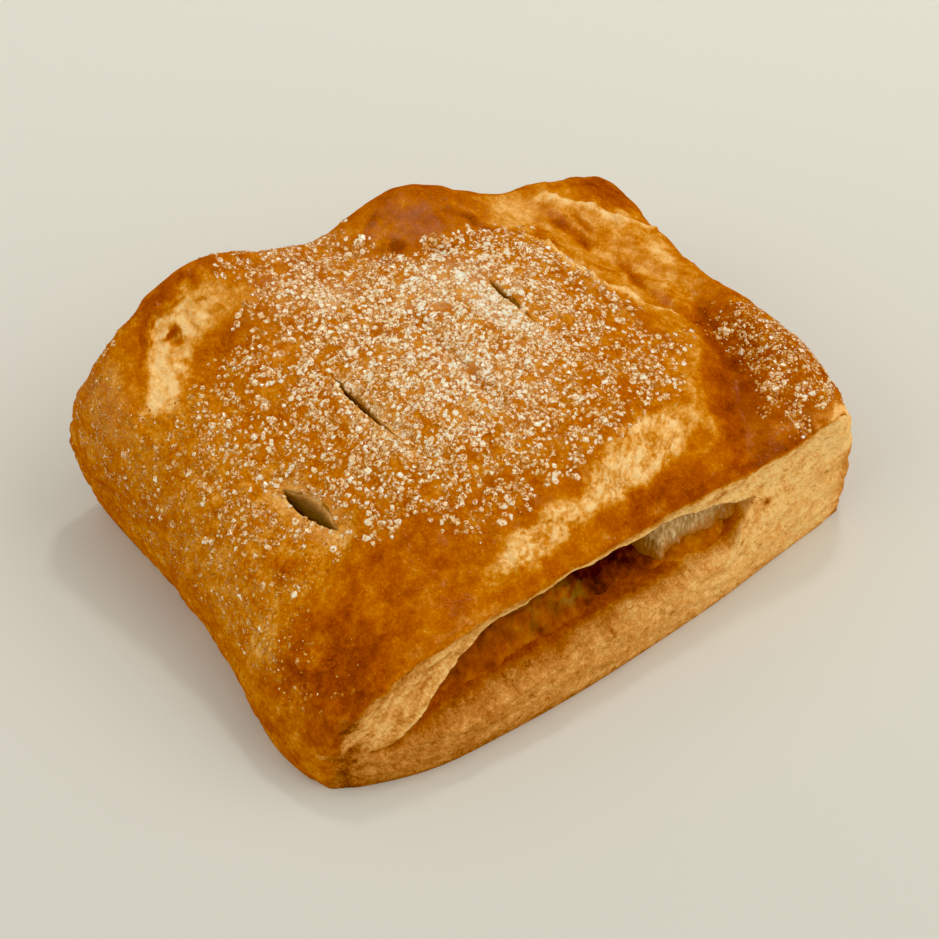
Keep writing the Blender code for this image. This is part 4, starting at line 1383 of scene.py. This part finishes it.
def makeCheeseMaterial():
    material, tree, surface = newMaterial("softCheese")
    # hanging strings: the noise is drawn out along its height
    drawn = addNode(tree, "ShaderNodeMapping", {"Vector": addPlace(tree), "Scale": (1.0, 1.0, 0.25)})
    noise = {"Vector": drawn.outputs["Vector"], "Scale": 2200.0, "Detail": 3.0}
    strings = addNode(tree, "ShaderNodeTexNoise", noise).outputs["Fac"]
    value = addMath(tree, "MULTIPLY_ADD", strings, 0.9, addMath(tree, "MULTIPLY", addGrain(tree, 3.0), 0.4))
    soaked = readMask(tree, "soaked")
    setInputs(tree, surface, {
        "Base Color": mixColors(tree, soaked, addRamp(tree, value, cheeseRamp), (0.44, 0.135, 0.012)),
        "Roughness": 0.4,
        "Normal": addBump(tree, strings, 0.0006, 0.8),
        "Specular IOR Level": 0.3,
    })
    return material


def makeSugarMaterial(name, roughness, stops):
    # amber shows through a grain in places, and its flaws are painted pale as painted glints; they also
    # bump it
    material, tree, surface = newMaterial(name)
    flawsAndGlints = addGrain(tree, 0.55, 2.0)
    value = addVaried(tree, readMask(tree, "tint"), flawsAndGlints, 1.5)
    setInputs(tree, surface, {
        "Base Color": addRamp(tree, value, stops),
        "Roughness": roughness,
        "Normal": addBump(tree, flawsAndGlints, 0.0004, 0.6),
        "IOR": 1.6,
        "Specular IOR Level": 0.8,
        "Subsurface Weight": 0.25,
        "Subsurface Radius": (1.0, 0.5, 0.2),
        "Subsurface Scale": 0.0007,
    })
    return material


clearSugar = (
    (0.00, (0.46, 0.130, 0.008)),
    (0.20, (0.60, 0.230, 0.035)),
    (0.45, (0.84, 0.480, 0.190)),
    (0.65, (0.97, 0.700, 0.410)),
    (0.90, (1.00, 0.900, 0.700)),
)
amberSugar = (
    (0.00, (0.46, 0.135, 0.004)),
    (0.40, (0.58, 0.200, 0.018)),
    (0.70, (0.80, 0.440, 0.130)),
    (1.00, (1.00, 0.800, 0.520)),
)

for piece, material in (
    (dough, makeCrustMaterial()),
    (guava, makeGuavaMaterial()),
    (cheese, makeCheeseMaterial()),
    (crystals, makeSugarMaterial("coarseSugar", 0.10, clearSugar)),
    (beads, makeSugarMaterial("meltedSugarDrops", 0.08, amberSugar)),
    (grains, makeSugarMaterial("fineSugar", 0.15, clearSugar)),
):
    piece.data.materials.clear()
    piece.data.materials.append(material)

# floor, light and camera

studio = {
    "floorColor": (0.740, 0.736, 0.662),
    "floorPaintedShade": 0.87,  # how dark its near left end is: painted shade, away from the light at the back
    "worldColor": (1.0, 0.97, 0.92),
    "worldStrength": 0.62,
    "mirrorShare": 0.10,  # how much of the world shows in glossy reflections
    "lights": {  # place, size, power and color
        "key": ((1.20, -0.84, 1.36), 2.1, 16.5, (1.0, 0.97, 0.92)),
        "fill": ((-1.30, 0.20, 0.90), 1.6, 4.4, (1.0, 0.97, 0.93)),
        "window": ((0.62, 0.50, 1.70), 0.17, 6.0, (1.0, 0.95, 0.88)),
        "spark": ((0.30, 0.24, 0.80), 0.09, 0.9, (1.0, 0.98, 0.95)),
    },
    "black": (0.001, 0.004, 0.013),
    "cameraPlace": (-0.162177, -0.234960, 0.339213),
    "cameraTilt": 41.0,
    "cameraTurn": -34.55,
    "lens": 92.01,
}


def makeFloor():
    bm = bmesh.new()
    bmesh.ops.create_grid(bm, x_segments=8, y_segments=8, size=2500)
    floor = meshPiece("floor", bm)
    material, tree, surface = newMaterial("paleTable")
    # painted shade: the floor darkens towards its near left end
    split = addNode(tree, "ShaderNodeSeparateXYZ", {"Vector": addPlace(tree)})
    away = addMath(tree, "MULTIPLY_ADD", split.outputs["X"], 1.9, 0.5)
    away = addMath(tree, "MULTIPLY_ADD", split.outputs["Y"], 2.7, away)
    low = tuple(value * studio["floorPaintedShade"] for value in studio["floorColor"])
    color = mixColors(tree, addClamped(tree, away), low, studio["floorColor"])
    setInputs(tree, surface, {"Base Color": color, "Roughness": 0.8, "Specular IOR Level": 0.2})
    floor.data.materials.append(material)


def addAreaLight(name, place, size, power, color):
    light = bpy.data.lights.new(name, "AREA")
    light.shape = "DISK"
    light.size = size
    light.energy = power
    light.color = color
    item = linkObject(name, light)
    item.location = place
    item.rotation_euler = Vector(place).to_track_quat("Z", "Y").to_euler()
    return item


def makeCamera():
    camera = bpy.data.cameras.new("camera")
    camera.lens = studio["lens"]
    camera.sensor_width = 36
    camera.clip_start = 0.01
    item = linkObject("camera", camera)
    item.location = studio["cameraPlace"]
    item.rotation_euler = (math.radians(studio["cameraTilt"]), 0, math.radians(studio["cameraTurn"]))
    bpy.context.scene.camera = item


def makeWorld():
    # reflections see only a part of the sky's light
    world = bpy.data.worlds.new("studio")
    world.use_nodes = True
    tree = world.node_tree
    glossy = addNode(tree, "ShaderNodeLightPath").outputs["Is Glossy Ray"]
    dimmed = studio["worldStrength"] * (studio["mirrorShare"] - 1)
    setInputs(tree, tree.nodes["Background"], {
        "Color": (*studio["worldColor"], 1),
        "Strength": addMath(tree, "MULTIPLY_ADD", glossy, dimmed, studio["worldStrength"]),
    })
    bpy.context.scene.world = world


makeFloor()
makeWorld()
lights = {name: addAreaLight(name, *look) for name, look in studio["lights"].items()}
lights["key"].visible_glossy = lights["fill"].visible_glossy = False
lights["window"].visible_diffuse = False  # it is seen in reflections alone
makeCamera()
view = bpy.context.scene.view_settings
view.view_transform = "Standard"
view.use_curve_mapping = True
view.curve_mapping.black_level = studio["black"]
view.curve_mapping.update()

# what each piece stands for


def keepInBox(piece):
    places = placesOf(piece.data)[0]
    low, high = (np.array(corner) for corner in cadBox)
    piece.data.vertices.foreach_set("co", np.clip(places * mm, low, high).ravel())
    piece.data.update()


for piece in (dough, guava, cheese, crystals, beads, grains):
    keepInBox(piece)
    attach(piece, "root")
for piece in (dough, crystals, beads, grains):
    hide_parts("pastry_dough")
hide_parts("guava_filling")
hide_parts("cheese_filling")
